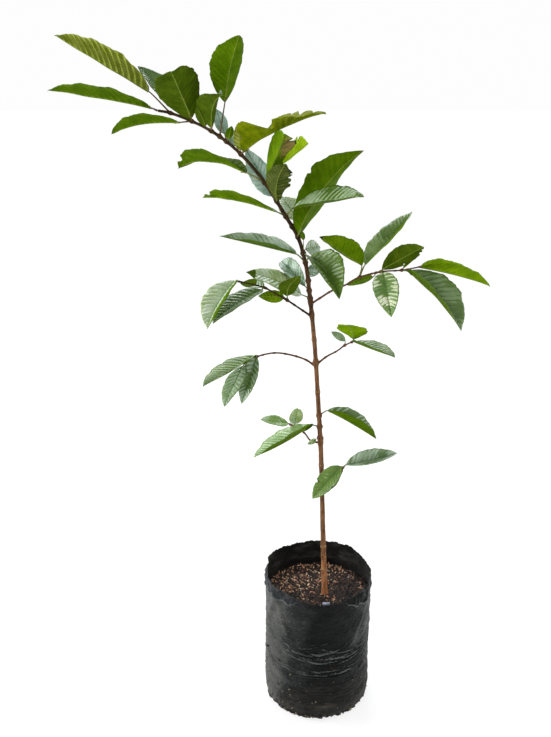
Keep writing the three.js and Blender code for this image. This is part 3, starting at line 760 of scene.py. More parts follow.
stalk_parts, seed = [], 100
for group, members in groups.items():
    finishes, parts = [], []
    for carrier, one, _ in members:
        seed += 7
        points, faces, numbers = blade(one, leaf_base(carrier, one)[1], seed)
        wanted = finishes_of(one)
        finishes += [finish for k, finish in enumerate(wanted) if finish not in finishes + wanted[:k]]
        parts.append((points, faces, np.array([finishes.index(finish) for finish in wanted])[numbers]))
        stalk_parts.append((*stalk(carrier, one), int(group == "stem_top")))
    make_piece(f"leaves_{group}", parts, finishes, sorted({node for _, _, node in members}))
masses = sorted({node for members in groups.values() for _, _, node in members})
make_piece("leaf_stalks", stalk_parts, stalk_finish, masses)

# %% [markdown]
# Guava bark is thin and smooth, light brown on the old foot of the stem and nearly black brown on this year's
# wood. Swollen joints mark where each pair of leaves grew, with pale scars where leaves have dropped. The
# relief is in the mesh: a ring of points every millimetre or so, swollen at each joint. The browns have a
# place, so each face is dealt one of six plain tints, or the scars' own, by how far along the limb it is, and
# the borders between them are broken up at random.

# %% Bark


def bark_skin(name, deep, pale):
    """Smooth young bark: streaks between two browns, with a fine lengthwise bump."""
    made, tree, where = begin(f"guava_bark_{name}")
    stretched = add(tree, "Mapping", {"Vector": where, "Scale": (1, 1, 0.22)})
    streaks = add(tree, "TexNoise", {"Vector": stretched, "Scale": 260, "Detail": 7, "Roughness": 0.72})
    tint = add(tree, "ValToRGB", {"Fac": streaks}, [(0.4, deep), (0.6, pale)])
    bump = add(tree, "Bump", {"Height": streaks, "Strength": 0.5, "Distance": 0.0006})
    bark = {"Base Color": tint, "Roughness": 0.68, "IOR": 1.45, "Specular IOR Level": 0.15, "Normal": bump}
    return close(made, bark)


BARK_TINTS = [
    ("old_foot", "#7e4c2c", "#b87e54"),
    ("old", "#50331f", "#7e5a3b"),
    ("two_year", "#362212", "#5a3f26"),
    ("one_year", "#22160c", "#3e2c18"),
    ("new", "#281c0b", "#463418"),
    ("bough", "#452b1c", "#6e4c36"),
    ("leaf_scar", "#6c4e32", "#a08058"),
]
bark_finish = [bark_skin(*row) for row in BARK_TINTS]
SCAR = len(BARK_TINTS) - 1


def bark_tube(limb, joints, scars, step, sides, seed, browns, girth):
    """A limb with swollen joints, scars and fine ridges. Browns deal the tints, and girth gives shares of the
    solid's radius, both by the distance along it. A joint is its distance, how proud it is and its reach."""
    count = max(8, round(limb["length"] / step))
    far = np.linspace(0, limb["length"], count + 1)
    radius = radius_at(limb, far) * np.interp(far, *zip(*girth))
    for at, proud, reach in [*joints, *[(at, 0.25, 0.9) for at in scars]]:
        radius = radius + proud * bell((far - at) / reach)
    closing = np.clip((limb["length"] - far) / 1.5, 0, 1) ** 0.5
    radius = radius * np.maximum(closing, 0.12)
    spread = round_axis(9, 2 * math.pi * np.arange(sides) / sides, far[:, None] * 0.35)
    relief = 0.05 * radius[:, None] * (ripple(spread, 7, seed) + 0.6 * ripple(spread, 3, seed + 1))
    points, faces = tube(place_on(limb, far), radius, sides, relief)
    dice = np.random.default_rng(seed)
    here = far[np.arange(count).repeat(sides)]
    numbers = np.digitize(here + dice.normal(0, 1, len(here)) * 14, browns)
    for at in scars:
        numbers[(np.abs(here - at) < 1.0) & (dice.random(len(here)) < 0.75)] = SCAR
    return points, faces, np.concatenate([numbers, np.full(len(faces) - len(numbers), numbers[-1])])


BOUGH_STARTS = (161, 228, 340, 341, 405, 421)
STEM_SCARS = (27, 40, 75, 196, 300, 372)
STEM_GIRTH = [(150, 1.0), (400, 1.32), (560, 1.5)]  # the solid is slimmer here than the picture's stem
BOUGH_GIRTH = [(0, 0.78)]  # the solid boughs are a little stouter than the picture's
joints = [(at, 1.3, 2.5) for at in stem_joints] + [(at, 0.9, 4) for at in BOUGH_STARTS]
joints += [(at, 0.45, 3) for at in STEM_SCARS]
part = bark_tube(stem, joints, STEM_SCARS, 1.4, 20, 5, [52, 390, 465, 560], STEM_GIRTH)
make_piece("stem_bark", [part], bark_finish, ["stem"])
for name, (_, *leaves) in BOUGHS.items():
    limb = bough_limbs[name]
    joints = [(one["at"], 0.7, 2) for one in leaves]
    joints += [(at, 0.4, 1.5) for at in np.arange(12, limb["length"] - 5, 15)]
    # The upper left bough has the stem's youngest browns, and the others have the boughs' own brown.
    browns = [-999, -999, -999, 40, 999] if name == "upper_left" else [-999] * 5
    part = bark_tube(limb, joints, (), 1.0, 14, 30 + len(name), browns, BOUGH_GIRTH)
    make_piece(f"bough_{name}_bark", [part], bark_finish, [f"bough_{name}"])

# %% [markdown]
# The bag is black polythene film filled by hand: a round wall that bulges and creases where the mix has
# settled, a limp rim that waves and tears, and a foot whose edge is rounded by the weight. A cloth simulation
# would drape it anew each time. Here the creases are wanted where they are, so the wall is a fine grid in
# angle and height whose radius is moved by rules. The creases come first: many thin ones, dealt at random in
# bands, and a few deep ones, most of them in front. Each sags in its middle.

# %% The creases of the bag
BAG_RADIUS, BAG_HEIGHT = 75, 199
# The foot's profile, as radius and height.
FOOT_PROFILE = [(0, 0), (40, 0), (58, 0), (62, 0.15), (66, 1.3), (70, 4), (72.4, 7.5)]
FOOT_PROFILE += [(74, 12), (74.8, 18), (75, 26)]
# The drain holes: the angle round the bag and the height of each.
HOLES = [(-2.852, 90), (-2.387, 86), (-0.625, 74), (-1.811, 19), (-1.35, 88), (0.5, 84), (1.4, 80), (2.3, 88)]
HOLE_RADIUS = 2.4
# The bands where thin creases gather, as their height and spread, and how many creases there are.
BANDS = [(52, 6), (64, 5), (78, 4), (86, 5), (98, 4), (104, 4), (112, 5), (122, 6), (36, 7), (20, 6)]
THIN_CREASES = 150
# The deep creases: the middle's angle and level, how far the ends rise, the reach, how thin and how high.
DEEP_CREASES = [
    (-1.55, 99, 17, 1.35, 1.5, 1.4), (-1.35, 105, 13, 1.0, 1.2, 0.9), (-1.75, 77, 10, 1.1, 1.3, 1.1),
    (-1.2, 80, 8, 0.8, 1.1, 0.7), (-1.25, 95, 36, 1.25, 1.3, 1.2), (-1.15, 104, 32, 1.1, 1.2, 1.0),
    (-1.0, 112, 26, 0.95, 1.2, 0.9), (-0.9, 86, 24, 0.85, 1.1, 0.8), (-1.95, 108, 24, 1.1, 1.3, 1.0),
    (-2.1, 118, 22, 0.9, 1.2, 0.7), (1.2, 96, 12, 1.4, 1.8, 1.3), (2.4, 74, 8, 1.0, 1.5, 1.0),
    (0.4, 60, 7, 0.9, 1.5, 0.9),
]


def between(angle, centre):
    """The angle from a centre, from -pi to pi."""
    return (angle - centre + math.pi) % (2 * math.pi) - math.pi


def crease(angle, height, centre, level, sag, reach, thin, high):
    """One crease: a ridge with a groove under it that sags at its middle and fades at its ends."""
    away = between(angle, centre)
    window = np.clip(1 - (away / reach) ** 2, 0, 1) ** 0.6
    path = level + sag * (away / reach) ** 2 + 0.8 * np.sin(away * 6 + level)
    off = (height - path) / thin
    return high * window * (bell(off) - 0.8 * bell(off + 1.6))


def bag_creases(angle, height):
    """The creases round the bag, in mm: ridges above nought and grooves below."""
    dice = np.random.default_rng(21)
    creases = np.zeros(np.shape(angle))
    for k in range(THIN_CREASES):
        level, spread = BANDS[k % len(BANDS)]
        centre = dice.uniform(-math.pi, math.pi) if k % 2 else dice.normal(-1.57, 0.6)
        sag = dice.choice([0, 4, 9, 15], p=[0.4, 0.3, 0.2, 0.1])
        level = level + dice.normal(0, spread)
        sizes = [dice.uniform(*limits) for limits in ((0.3, 1.1), (0.7, 1.2), (0.15, 0.6))]
        creases += crease(angle, height, centre, level, sag, *sizes)
    for row in DEEP_CREASES:
        creases += crease(angle, height, *row)
    return creases


print("creases in the bag", THIN_CREASES + len(DEEP_CREASES))

# %% [markdown]
# The wall's whole relief is a sum: soft bulges and crinkle, the creases, soft slanting folds under the rim,
# pleats where the foot is drawn in, and a dimple with a raised lip at each drain hole.

# %% The relief of the wall
# The slanting folds under the rim: the angle, the lean, how wide and how high.
FOLDS = [
    (-2.75, 0.35, 0.09, 1.6), (-2.3, -0.3, 0.08, 1.3), (-1.9, 0.5, 0.07, 0.9), (-1.1, -0.4, 0.08, 1.0),
    (-0.7, 0.4, 0.07, 1.3), (-0.35, -0.35, 0.09, 1.6), (0.5, 0.3, 0.1, 1.3), (1.4, -0.4, 0.09, 1.2),
    (2.4, 0.35, 0.09, 1.4),
]


def rim_wave(angle):
    """How far the rim stands above its usual height, as in the solids: low in front, with a notch."""
    slow = 5.5 * np.sin(angle) - 3 * np.cos(angle) + 1.2 * np.sin(5 * angle + 1)
    return slow - 5 * bell((angle + 1.4) / 0.28)


def bag_offset(angle, height):
    """How far the film stands out from its round wall, in mm."""
    wall = round_axis(BAG_RADIUS, angle, height)
    bulge = 0.8 * ripple(wall, 90, 1) + 0.35 * ripple(wall * [1, 1, 2.5], 40, 2)
    crinkle = 0.2 * ripple(wall * [1, 1, 3], 12, 3) + 0.09 * ripple(wall * [1, 1, 2], 5, 4)
    slanting = 0.0
    for centre, lean, wide, high in FOLDS:
        off = between(angle, centre + lean * (height - 150) / 50) / wide
        slanting = slanting + high * (bell(off) - 0.6 * bell(off - 1.5))
    slanting = np.clip((height - 118) / 20, 0, 1) * slanting
    rim = 1.1 * np.sin(3 * angle + 0.6) + 0.8 * np.sin(7 * angle + 2) + 0.35 * np.sin(17 * angle)
    pleats = 0.5 * np.sin(13 * angle) + 0.4 * np.sin(29 * angle + 1) + 0.3 * np.sin(47 * angle)
    pleats = np.exp(-height / 14) * pleats * np.clip(height / 3, 0, 1)
    holes = np.zeros_like(bulge)
    for at, up in HOLES:
        far = np.hypot(BAG_RADIUS * between(angle, at), height - up) / HOLE_RADIUS
        holes += 0.7 * bell((far - 1.25) / 0.4) - 1.4 * np.exp(-(far**4))
    folds = bulge + crinkle + bag_creases(angle, height) + slanting
    return folds * np.clip(height / 20, 0, 1) + holes + np.clip((height - 172) / 27, 0, 1) * rim + pleats


print("slanting folds", len(FOLDS), "drain holes", len(HOLES))

# %% [markdown]
# The wall is laid out in rings from the middle of the foot up to the ragged rim, back down the inside of the
# film, and across under the mix, where nobody looks. Thin as it is, the film is a closed body.

# %% The wall of the bag
COLUMNS, WALL_ROWS, INNER_ROWS = 340, 200, 24
FILM = 0.7  # from the outside of the wall to the inside, in mm
INNER_FOOT = 160  # how far down the inside goes
wall_foot = FOOT_PROFILE[-1][1]
turn = np.linspace(-math.pi, math.pi, COLUMNS, endpoint=False)
ragged = 0.6 * np.sin(23 * turn) + 0.45 * np.sin(61 * turn + 1) + 0.35 * np.sin(113 * turn)
ragged += 4.5 * bell((turn - 0.95) / 0.4)
rim_height = BAG_HEIGHT + rim_wave(turn) + ragged
rings = []
for r, z in FOOT_PROFILE:
    offset = bag_offset(turn, float(z)) if r > 60 else 0
    rings.append(round_axis(np.maximum(r + offset, 0.02), turn, float(z)))
for k in range(1, WALL_ROWS + 1):
    z = wall_foot + (rim_height - wall_foot) * k / WALL_ROWS
    rings.append(round_axis(BAG_RADIUS + bag_offset(turn, z), turn, z))
outer_rows = len(rings)
for k in range(INNER_ROWS + 1):
    z = rim_height - 0.2 - (rim_height - INNER_FOOT) * k / INNER_ROWS
    rings.append(round_axis(BAG_RADIUS + bag_offset(turn, z) - FILM, turn, z))
rings.append(rings[-1] * [0.5, 0.5, 1])
rings.append(rings[-1] * [0.0005, 0.0005, 1])
rings = np.array(rings)
print("bag reach in mm", round(float(np.hypot(rings[..., 0], rings[..., 1]).max()), 1))

# %% [markdown]
# Blown polythene film is nearly black, IOR 1.51, and smooth enough for a sheen on each crease. A year
# outdoors has dulled it: splashed soil lies on it in clouds, browner and rougher, thicker towards the foot
# and inside the rim. The fine lines of stretched film run round it every millimetre or two, and the crinkle
# is 3 mm across. Both are drawn as bump. The specular level is low because dust kills the mirror of the white
# floor, and a trace of sheen is the dust that catches light from the side. A paler grey is painted on the
# crests of the creases as their highlight, and a grey sheen is painted on both sides. Seven finishes come
# from
# one function: clean film, the dustier lower half, the inside, the painted crest highlights, the painted
# sheen of the sides, a fainter painted sheen between them and the clean, and the folded rim, whose bluish
# tints are a painted reflection of the sky. Another makes the dried soil, in the drain holes here, where its
# near black is partly painted shade, and as crumbs further on.

# %% Film finishes


def film_skin(kind, clean, pale, soil, dust, smooth, shine):
    """Black film under soil dust. Dust is how much lies there, and smooth the roughness where it is clean."""
    made, tree, where = begin(f"black_polythene_film{kind}")
    flat = add(tree, "Mapping", {"Vector": where, "Scale": (1, 1, 2.6)})
    clouds = add(tree, "TexNoise", {"Vector": flat, "Scale": 24, "Detail": 9, "Roughness": 0.72})
    stops = [(0.44 - dust, clean), (0.58 - dust, pale), (0.8 - dust, soil)]
    tint = add(tree, "ValToRGB", {"Fac": clouds}, stops)
    limits = {"From Min": 0.4 - dust, "From Max": 0.7 - dust, "To Min": smooth, "To Max": smooth + 0.32}
    rough = add(tree, "MapRange", {"Value": clouds, **limits})
    drawn = add(tree, "Mapping", {"Vector": where, "Scale": (1, 1, 8)})
    lines = add(tree, "TexNoise", {"Vector": drawn, "Scale": 95, "Detail": 7, "Roughness": 0.62})
    fine = add(tree, "TexNoise", {"Vector": where, "Scale": 330, "Detail": 3})
    low = add(tree, "Bump", {"Height": lines, "Strength": 0.8, "Distance": 0.003})
    bump = add(tree, "Bump", {"Height": fine, "Strength": 0.35, "Distance": 0.0006, "Normal": low})
    film = {"Base Color": tint, "Roughness": rough, "IOR": 1.51, "Specular IOR Level": shine, "Normal": bump}
    return close(made, film | {"Sheen Weight": 0.03, "Sheen Roughness": 0.35})


def soil_skin(name, deep, pale):
    """Dried soil: fine grains between two browns, as colour and as bump."""
    made, tree, where = begin(name)
    grit = add(tree, "TexNoise", {"Vector": where, "Scale": 900, "Detail": 4})
    tint = add(tree, "ValToRGB", {"Fac": grit}, [(0.36, deep), (0.64, pale)])
    bump = add(tree, "Bump", {"Height": grit, "Strength": 0.5, "Distance": 0.0004})
    return close(made, {"Base Color": tint, "Roughness": 0.95, "Normal": bump})


bag_skins = {
    "clean": film_skin("", "#040505", "#0c0e0e", "#262823", 0.0, 0.24, 0.1),
    "dusty": film_skin("_dusty", "#0b0b0a", "#1a1a17", "#4a473d", 0.07, 0.36, 0.12),
    "inside": film_skin("_inside", "#070707", "#191917", "#4e4b44", 0.08, 0.42, 0.12),
    # Soil in the drain holes, its near black partly painted shade inside the hole.
    "hole": soil_skin("soil_in_drain_hole", "#070403", "#120c09"),
    "painted_crest_highlight": film_skin("_rubbed", "#303334", "#484b4b", "#5e6058", 0.0, 0.22, 0.38),
    "painted_side_sheen": film_skin("_greyed", "#2a2c2b", "#424340", "#5e5d56", 0.02, 0.26, 0.18),
    "painted_faint_sheen": film_skin("_dulled", "#111313", "#1f2222", "#3c3e3c", 0.03, 0.26, 0.13),
}
# The folded rim's black film has a painted bluish reflection of the sky in its tints.
folded_painted_reflection = film_skin("_folded", "#04070a", "#0d1418", "#2e3a42", 0.02, 0.16, 0.24)
CLEAN, DUSTY, INSIDE, HOLE, PAINTED_HIGHLIGHT, SIDE_SHEEN, FAINT_SHEEN = range(len(bag_skins))
print("film finishes", list(bag_skins))

# %% [markdown]
# Each face of the film is dealt its finish by where it is, with ragged borders: dust below, a painted grey
# sheen on the two sides, more of it on the left one, and a painted highlight wherever a crease stands high.

# %% The film
dice = np.random.default_rng(8)
centre = (rings[:-1] + rings[1:]) / 2
height = centre[..., 2]
border = 60 + 10 * ripple(centre, 60, 70) + dice.normal(0, 3.5, height.shape)
round_bag = np.arctan2(centre[..., 1], centre[..., 0])
spread = 0.16 * ripple(centre, 30, 72) + dice.normal(0, 0.11, height.shape)
# Painted sheen on the two sides, widest on the left, and fainter round its border.
left = np.abs(between(round_bag, -2.85)) + spread + 0.45 * np.clip((50 - height) / 40, 0, 1)
right = np.abs(between(round_bag, -0.38)) + spread + np.clip((120 - height) / 60, 0, 1)
numbers = np.where(height < border, DUSTY, np.where((left < 0.95) | (right < 0.42), FAINT_SHEEN, CLEAN))
numbers[(left < 0.62) | (right < 0.22)] = SIDE_SHEEN
fading = 0.5 * np.clip((75 - height) / 30, 0, 1)
ridge = bag_creases(round_bag, height) - fading + 0.2 * ripple(centre, 14, 71)
# Painted highlight: a paler grey wherever a crease stands high.
numbers[ridge + dice.normal(0, 0.12, height.shape) > 0.78] = PAINTED_HIGHLIGHT
numbers[outer_rows:] = INSIDE
for at, up in HOLES:
    off = np.hypot(BAG_RADIUS * between(round_bag, at), height - up)
    numbers[(off < HOLE_RADIUS * 0.95) & (numbers != INSIDE)] = HOLE
bag_faces = shell_faces(len(rings), COLUMNS)
numbers = np.concatenate([numbers.ravel(), np.full(len(bag_faces) - numbers.size, CLEAN)])
film_part = (rings.reshape(-1, 3), bag_faces, numbers)
make_piece("bag_film", [film_part], bag_skins.values(), ["nursery_bag"])

# %% [markdown]
# At the left front and the right front the rim is folded over and hangs outside as a limp flap. Each flap is
# a thin closed sheet in the same angle and height, a little proud of the wall, that starts on the rim and
# ends in a curved free edge, where a paler grey is painted on as its highlight.

# %% Flaps of the rim
FLAP_COLUMNS, FLAP_ROWS, HIGHLIGHT_ROWS = 70, 14, 2


def rim_flap(start, end, drop, peak, seed):
    """A flap of film over the rim between two angles in degrees, longest at a share of its width."""
    angle = np.radians(np.linspace(start, end, FLAP_COLUMNS))
    share = np.linspace(0, 1, FLAP_COLUMNS)
    down = np.linspace(0, 1, FLAP_ROWS)[:, None]
    long = drop * np.sin(math.pi * share ** (math.log(0.5) / math.log(peak))) ** 0.6
    long = long * (1 + 0.12 * np.sin(share * 31)) + 0.3
    z = (BAG_HEIGHT + rim_wave(angle) + 0.5)[None] - long[None] * down
    wide = np.broadcast_to(angle, z.shape)
    places = round_axis(BAG_RADIUS, wide, z)
    ends = np.clip(np.sin(math.pi * share) / 0.35, 0, 1)
    wrinkles = 1.2 * ripple(places, 17, seed) + 0.9 * ripple(places, 7, seed + 1)
    wrinkles = wrinkles + 0.25 * ripple(places, 3.5, seed + 2)
    stand = 0.5 + (2.4 * down**0.7 + wrinkles * (0.3 + 0.7 * down)) * ends
    outer = BAG_RADIUS + bag_offset(wide, z) + np.maximum(stand, 0.35)
    outer[0] = BAG_RADIUS + bag_offset(wide[0], z[0]) - 0.3
    layers = [round_axis(r, wide, z).reshape(-1, 3) for r in (outer, outer - 0.28)]
    front, back, rims = (faces[:, [0, 3, 2, 1]] for faces in sheet_faces(FLAP_ROWS, FLAP_COLUMNS))
    # The last rows at the free edge, and the rims, take the painted highlight.
    worn = np.repeat(np.arange(FLAP_ROWS - 1) > FLAP_ROWS - 2 - HIGHLIGHT_ROWS, FLAP_COLUMNS - 1)
    numbers = np.concatenate([worn, np.zeros(len(back)), np.ones(len(rims))])
    return np.concatenate(layers), np.concatenate([front, back, rims]), numbers


FLAPS = {"left": ((-190, -112, 16, 0.6, 40), folded_painted_reflection), "right": ((-63, -4, 18, 0.45, 50), bag_skins["clean"])}
for side, (row, skin) in FLAPS.items():
    make_piece(f"rim_flap_{side}", [rim_flap(*row)], [skin, bag_skins["painted_crest_highlight"]])

# %% [markdown]
# Soil that ran out of the drain holes and under the foot has dried onto the film. It sits as loose crumbs
# round the foot and up the left side, where the bag once lay on the ground. Each is a knocked cube of twelve
# triangles, sunk halfway into the film.

# %% Soil on the foot
CUBE = np.array([(x, y, z) for z in (-1, 1) for y in (-1, 1) for x in (-1, 1)]) / 2
CUBE_FACES = np.array([(0, 2, 3, 1), (4, 5, 7, 6), (0, 1, 5, 4), (2, 6, 7, 3), (0, 4, 6, 2), (1, 3, 7, 5)])
CRUMBS, CRUMBS_BY_A_HOLE = 620, 5
dice = np.random.default_rng(17)
by_foot = np.arange(CRUMBS) % 3 > 0
all_round, on_left = dice.uniform(-math.pi, math.pi, CRUMBS), dice.uniform(-3.1, -1.5, CRUMBS)
angles = np.where(np.arange(CRUMBS) % 2, all_round, on_left)
heights = np.where(by_foot, dice.uniform(0.8, 8, CRUMBS), 3 + 75 * dice.random(CRUMBS) ** 1.4)
for k in range(CRUMBS_BY_A_HOLE * len(HOLES)):
    at, up = HOLES[k % len(HOLES)]
    angles[k], heights[k], by_foot[k] = at + dice.normal(0, 0.03), up + dice.normal(-0.5, 1.6), True
reaches = np.interp(heights, [z for _, z in FOOT_PROFILE], [r for r, _ in FOOT_PROFILE])
reaches = reaches + bag_offset(angles, heights)
crumb_parts = []
for angle, height, reach, large in zip(angles, heights, reaches, by_foot):
    size = dice.uniform(1.0, 3.4) if large else dice.uniform(0.5, 1.7)
    shape = CUBE * dice.uniform(0.6, 1.2, 3) * size * (1 + dice.uniform(-0.3, 0.3, (8, 3)))
    spin = math.radians(dice.uniform(0, 90))
    c, s = math.cos(spin), math.sin(spin)
    turned = shape @ np.array([[c, s, 0], [-s, c, 0], [0, 0, 1]])
    spot = round_axis(reach, angle, max(height, size * 0.6))
    crumb_parts.append((turned + spot, CUBE_FACES, int(dice.random() < (0.08 if large else 0.4))))
soil_skins = [soil_skin("soil_crumb_dark", "#120b07", "#281b13")]
soil_skins += [soil_skin("soil_crumb_light", "#5a5444", "#88826e")]
make_piece("bag_soil_crumbs", crumb_parts, soil_skins)

# %% [markdown]
# The mix is screened bark and coir: dark crumbs with red-brown chips, slivers and tan fibres lying on them, a
# few pale flecks and one pale stone. The ground under them is a disc with small mounds, dark as damp coir and
# darker still with painted shade for the gaps between the grains.

# %% The ground of the mix
MIX_SIDES, MIX_ROUNDS, MIX_RADIUS = 96, 34, 73.4
around = np.linspace(0, 2 * math.pi, MIX_SIDES, endpoint=False)
surface = []
for k in range(MIX_ROUNDS + 1):
    r = 0.02 + MIX_RADIUS * k / MIX_ROUNDS
    ring = round_axis(r, around, 0.0)
    mounds = 1.5 * ripple(ring, 38, 60) + 0.9 * ripple(ring, 11, 61) + 0.5 * ripple(ring, 4, 62)
    foot = 2.5 * np.exp(-(((ring[:, 0] - 9) ** 2 + (ring[:, 1] + 17) ** 2) / 160))
    ring[:, 2] = MIX_TOP - 0.8 - 2.5 * (r / 73) ** 4 + mounds * 0.8 + foot
    surface.append(ring)
bottom = surface[-1] * [1, 1, 0] + [0, 0, 150]
surface = np.array([*surface, bottom, bottom * [0.5, 0.5, 1], bottom * [0.0003, 0.0003, 1]])
mix_points = surface.reshape(-1, 3)
mix_faces = shell_faces(len(surface), MIX_SIDES)[:, [0, 3, 2, 1]]

damp_mix_with_painted_shade, tree, where = begin("bark_and_coir_mix_damp")
cells = add(tree, "TexVoronoi", {"Vector": where, "Scale": 420})
# Damp coir is dark brown, and the near black of the darkest stop is painted shade in the gaps between grains.
stops = [(0.2, "#0a0503"), (0.55, "#20120d"), (0.9, "#46301f")]
tint = add(tree, "ValToRGB", {"Fac": cells.outputs["Color"]}, stops)
bump = add(tree, "Bump", {"Height": cells, "Strength": 0.9, "Distance": 0.0015})
close(damp_mix_with_painted_shade, {"Base Color": tint, "Roughness": 0.9, "Normal": bump})
make_piece("mix_ground", [(mix_points, mix_faces, 0)], [damp_mix_with_painted_shade], ["potting_mix"])

# %% [markdown]
# The grains repeat thousands of times over the ground, so one Geometry Nodes tree scatters them all: it drops
# points on a surface, puts a copy of a grain on each, turned at random and sized between two limits, makes
# the copies real and gives them their finish. Its inputs are named and its seed is fixed, so the same tree
# lays chips, slivers, fibres, crumbs and pale flecks. A grain has only twenty faces, because it is repeated
# so often.

# %% The scattering tree
FULL_TURN = 6.2832
INPUTS = {
    "Surface": "Geometry",
    "Grain": "Object",
    "Grains per square metre": "Float",
    "Smallest": "Float",
    "Largest": "Float",
    "Tilt": "Float",
    "Seed": "Int",
    "Finish": "Material",
}
scattering = bpy.data.node_groups.new("scatter_grains", "GeometryNodeTree")
for name, kind in INPUTS.items():
    scattering.interface.new_socket(name=name, in_out="INPUT", socket_type=f"NodeSocket{kind}")
scattering.interface.new_socket(name="Grains", in_out="OUTPUT", socket_type="NodeSocketGeometry")
given = scattering.nodes.new("NodeGroupInput").outputs
spread = {"Mesh": given["Surface"], "Density": given["Grains per square metre"], "Seed": given["Seed"]}
points = add(scattering, "GeometryNodeDistributePointsOnFaces", spread)
tilt = given["Tilt"]
lean = add(scattering, "Math", {0: tilt, 1: -1.0}, operation="MULTIPLY")
least = add(scattering, "CombineXYZ", {"X": lean, "Y": lean})
most = add(scattering, "CombineXYZ", {"X": tilt, "Y": tilt, "Z": FULL_TURN})
limits = {0: least, 1: most, "Seed": given["Seed"]}
turns = add(scattering, "FunctionNodeRandomValue", limits, data_type="FLOAT_VECTOR")
limits = {2: given["Smallest"], 3: given["Largest"], "Seed": given["Seed"]}
sizes = add(scattering, "FunctionNodeRandomValue", limits, data_type="FLOAT").outputs[1]
grain = add(scattering, "GeometryNodeObjectInfo", {"Object": given["Grain"]}).outputs["Geometry"]
laid = {"Points": points, "Instance": grain, "Rotation": turns, "Scale": sizes}
copies = add(scattering, "GeometryNodeInstanceOnPoints", laid)
real = add(scattering, "GeometryNodeRealizeInstances", {"Geometry": copies})
dressed = add(scattering, "GeometryNodeSetMaterial", {"Geometry": real, "Material": given["Finish"]})
add(scattering, "NodeGroupOutput", {"Grains": dressed})


def scatter(name, ground, values):
    """Runs the tree on a copy of a ground and keeps the result as a plain mesh piece."""
    helper = bpy.data.objects.new(f"{name}_helper", ground)
    scene.collection.objects.link(helper)
    modifier = helper.modifiers.new("scatter", "NODES")
    modifier.node_group = scattering
    for item in scattering.interface.items_tree:
        if item.name in values:
            modifier[item.identifier] = values[item.name]
    mesh = bpy.data.meshes.new_from_object(helper.evaluated_get(bpy.context.evaluated_depsgraph_get()))
    mesh.name = name
    bpy.data.objects.remove(helper)
    hand_over(name, mesh)


print("scatter inputs", list(INPUTS))

# %% [markdown]
# The grains are small lumps with corners, each from a ball of twenty faces that is squashed and knocked
# about. A fibre is a long thin one. They live in the file only while the tree reads them. Bark, coir and
# perlite are all matt, and each grain takes its shade from a pattern of cells 3 mm across. The mix is darker
# in damp patches, and painted light makes it lighter towards the back and the left.

# %% Grains and the finished mix


def lump(name, squash, knock, seed):
    """A cornered lump about 1 unit long, from an icosahedron."""
    dice = np.random.default_rng(seed)
    mesh = bpy.data.meshes.new(name)
    made = bmesh.new()
    bmesh.ops.create_icosphere(made, subdivisions=1, radius=0.5)
    for vertex in made.verts:
        vertex.co = Vector(np.array(vertex.co) * squash * (1 + dice.uniform(-knock, knock, 3)))
    made.to_mesh(mesh)
    made.free()
    return bpy.data.objects.new(name, mesh)


def grain_skin(name, deep, pale, roughness=0.85):
    """Bark, coir or stone grains between two tints, by their cell, the damp and painted light towards the
    back left.
    """
    made, tree, where = begin(name)
    cells = add(tree, "TexVoronoi", {"Vector": where, "Scale": 300})
    damp = add(tree, "TexNoise", {"Vector": where, "Scale": 42, "Detail": 4, "Roughness": 0.6})
    side = add(tree, "SeparateXYZ", {0: where}).outputs
    # Painted light: the grains grow lighter towards the left and the back.
    shade = add(tree, "Math", {0: side["X"], 1: -5.5, 2: -1.0}, operation="MULTIPLY_ADD")
    shade = add(tree, "Math", {0: side["Y"], 1: 8.5, 2: shade}, operation="MULTIPLY_ADD")
    shade = add(tree, "Math", {0: damp, 1: 2.6, 2: shade}, operation="MULTIPLY_ADD")
    shade = add(tree, "Math", {0: cells.outputs["Color"], 1: shade}, operation="ADD")
    half = add(tree, "Math", {0: shade, 1: 0.5}, operation="MULTIPLY")
    tint = add(tree, "ValToRGB", {"Fac": half}, [(0.29, deep), (0.54, pale)])
    grit = add(tree, "TexNoise", {"Vector": where, "Scale": 1500, "Detail": 3})
    bump = add(tree, "Bump", {"Height": grit, "Strength": 0.5, "Distance": 0.0004})
    return close(made, {"Base Color": tint, "Roughness": roughness, "Normal": bump})


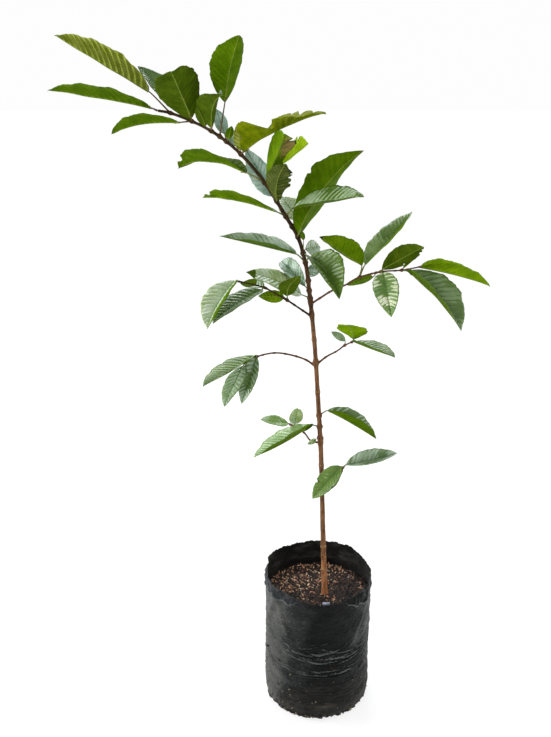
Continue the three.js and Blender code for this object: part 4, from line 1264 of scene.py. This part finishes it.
chip = lump("chip", (1, 0.42, 0.2), 0.4, 1)
sliver = lump("sliver", (1, 0.2, 0.12), 0.35, 4)
crumb = lump("crumb", (1, 0.8, 0.65), 0.3, 2)
fibre = lump("fibre", (1, 0.09, 0.09), 0.25, 3)
# Only the open top of the ground takes grains, so the tree gets a mesh that holds that part alone.
open_top = bpy.data.meshes.new("mix_top")
open_top.from_pydata((mix_points * MM).tolist(), [], mix_faces[: (MIX_ROUNDS - 1) * MIX_SIDES].tolist())
# Each kind: how many to a square metre, their smallest and largest size in metres, the tilt and the seed.
for name, grain, density, smallest, largest, tilt, seed, finish in (
    ("crumbs", crumb, 80000, 0.0010, 0.0034, 3.1, 3, ("coir_crumbs_dark", "#030201", "#34201a")),
    ("chips_red", chip, 17000, 0.0025, 0.0085, 1.1, 4, ("bark_chips_red_brown", "#120703", "#cc9272")),
    ("chips_tan", chip, 5000, 0.0025, 0.0065, 1.1, 5, ("bark_chips_tan", "#5c4030", "#f8dab4")),
    ("slivers", sliver, 15000, 0.003, 0.009, 0.9, 8, ("bark_slivers", "#22110a", "#f0c8a4")),
    ("fibres", fibre, 6000, 0.006, 0.014, 0.6, 6, ("coir_fibres", "#4c3222", "#c8a480")),
    ("flecks", crumb, 1700, 0.0012, 0.0028, 3.1, 7, ("perlite_flecks", "#948a7c", "#f8f4ee")),
):
    chosen = (grain, float(density), smallest, largest, tilt, seed, grain_skin(*finish))
    scatter(f"mix_{name}", open_top, dict(zip(list(INPUTS)[1:], chosen)))

# One lump of a pale stone lies against the rim in front.
dice = np.random.default_rng(44)
stone = CUBE * [9, 5, 4] * (1 + dice.uniform(-0.25, 0.25, (8, 3))) + [9, -49, MIX_TOP + 3.5]
stone_skin = grain_skin("pale_stone_in_mix", "#8c94a8", "#ccd4e6", 0.6)
make_piece("mix_stone", [(stone, CUBE_FACES, 0)], [stone_skin])

# %% [markdown]
# The last cell removes the helper grains, which the scattering tree no longer needs.

# %% Removing the helpers
for helper in (chip, sliver, crumb, fibre):
    bpy.data.objects.remove(helper)
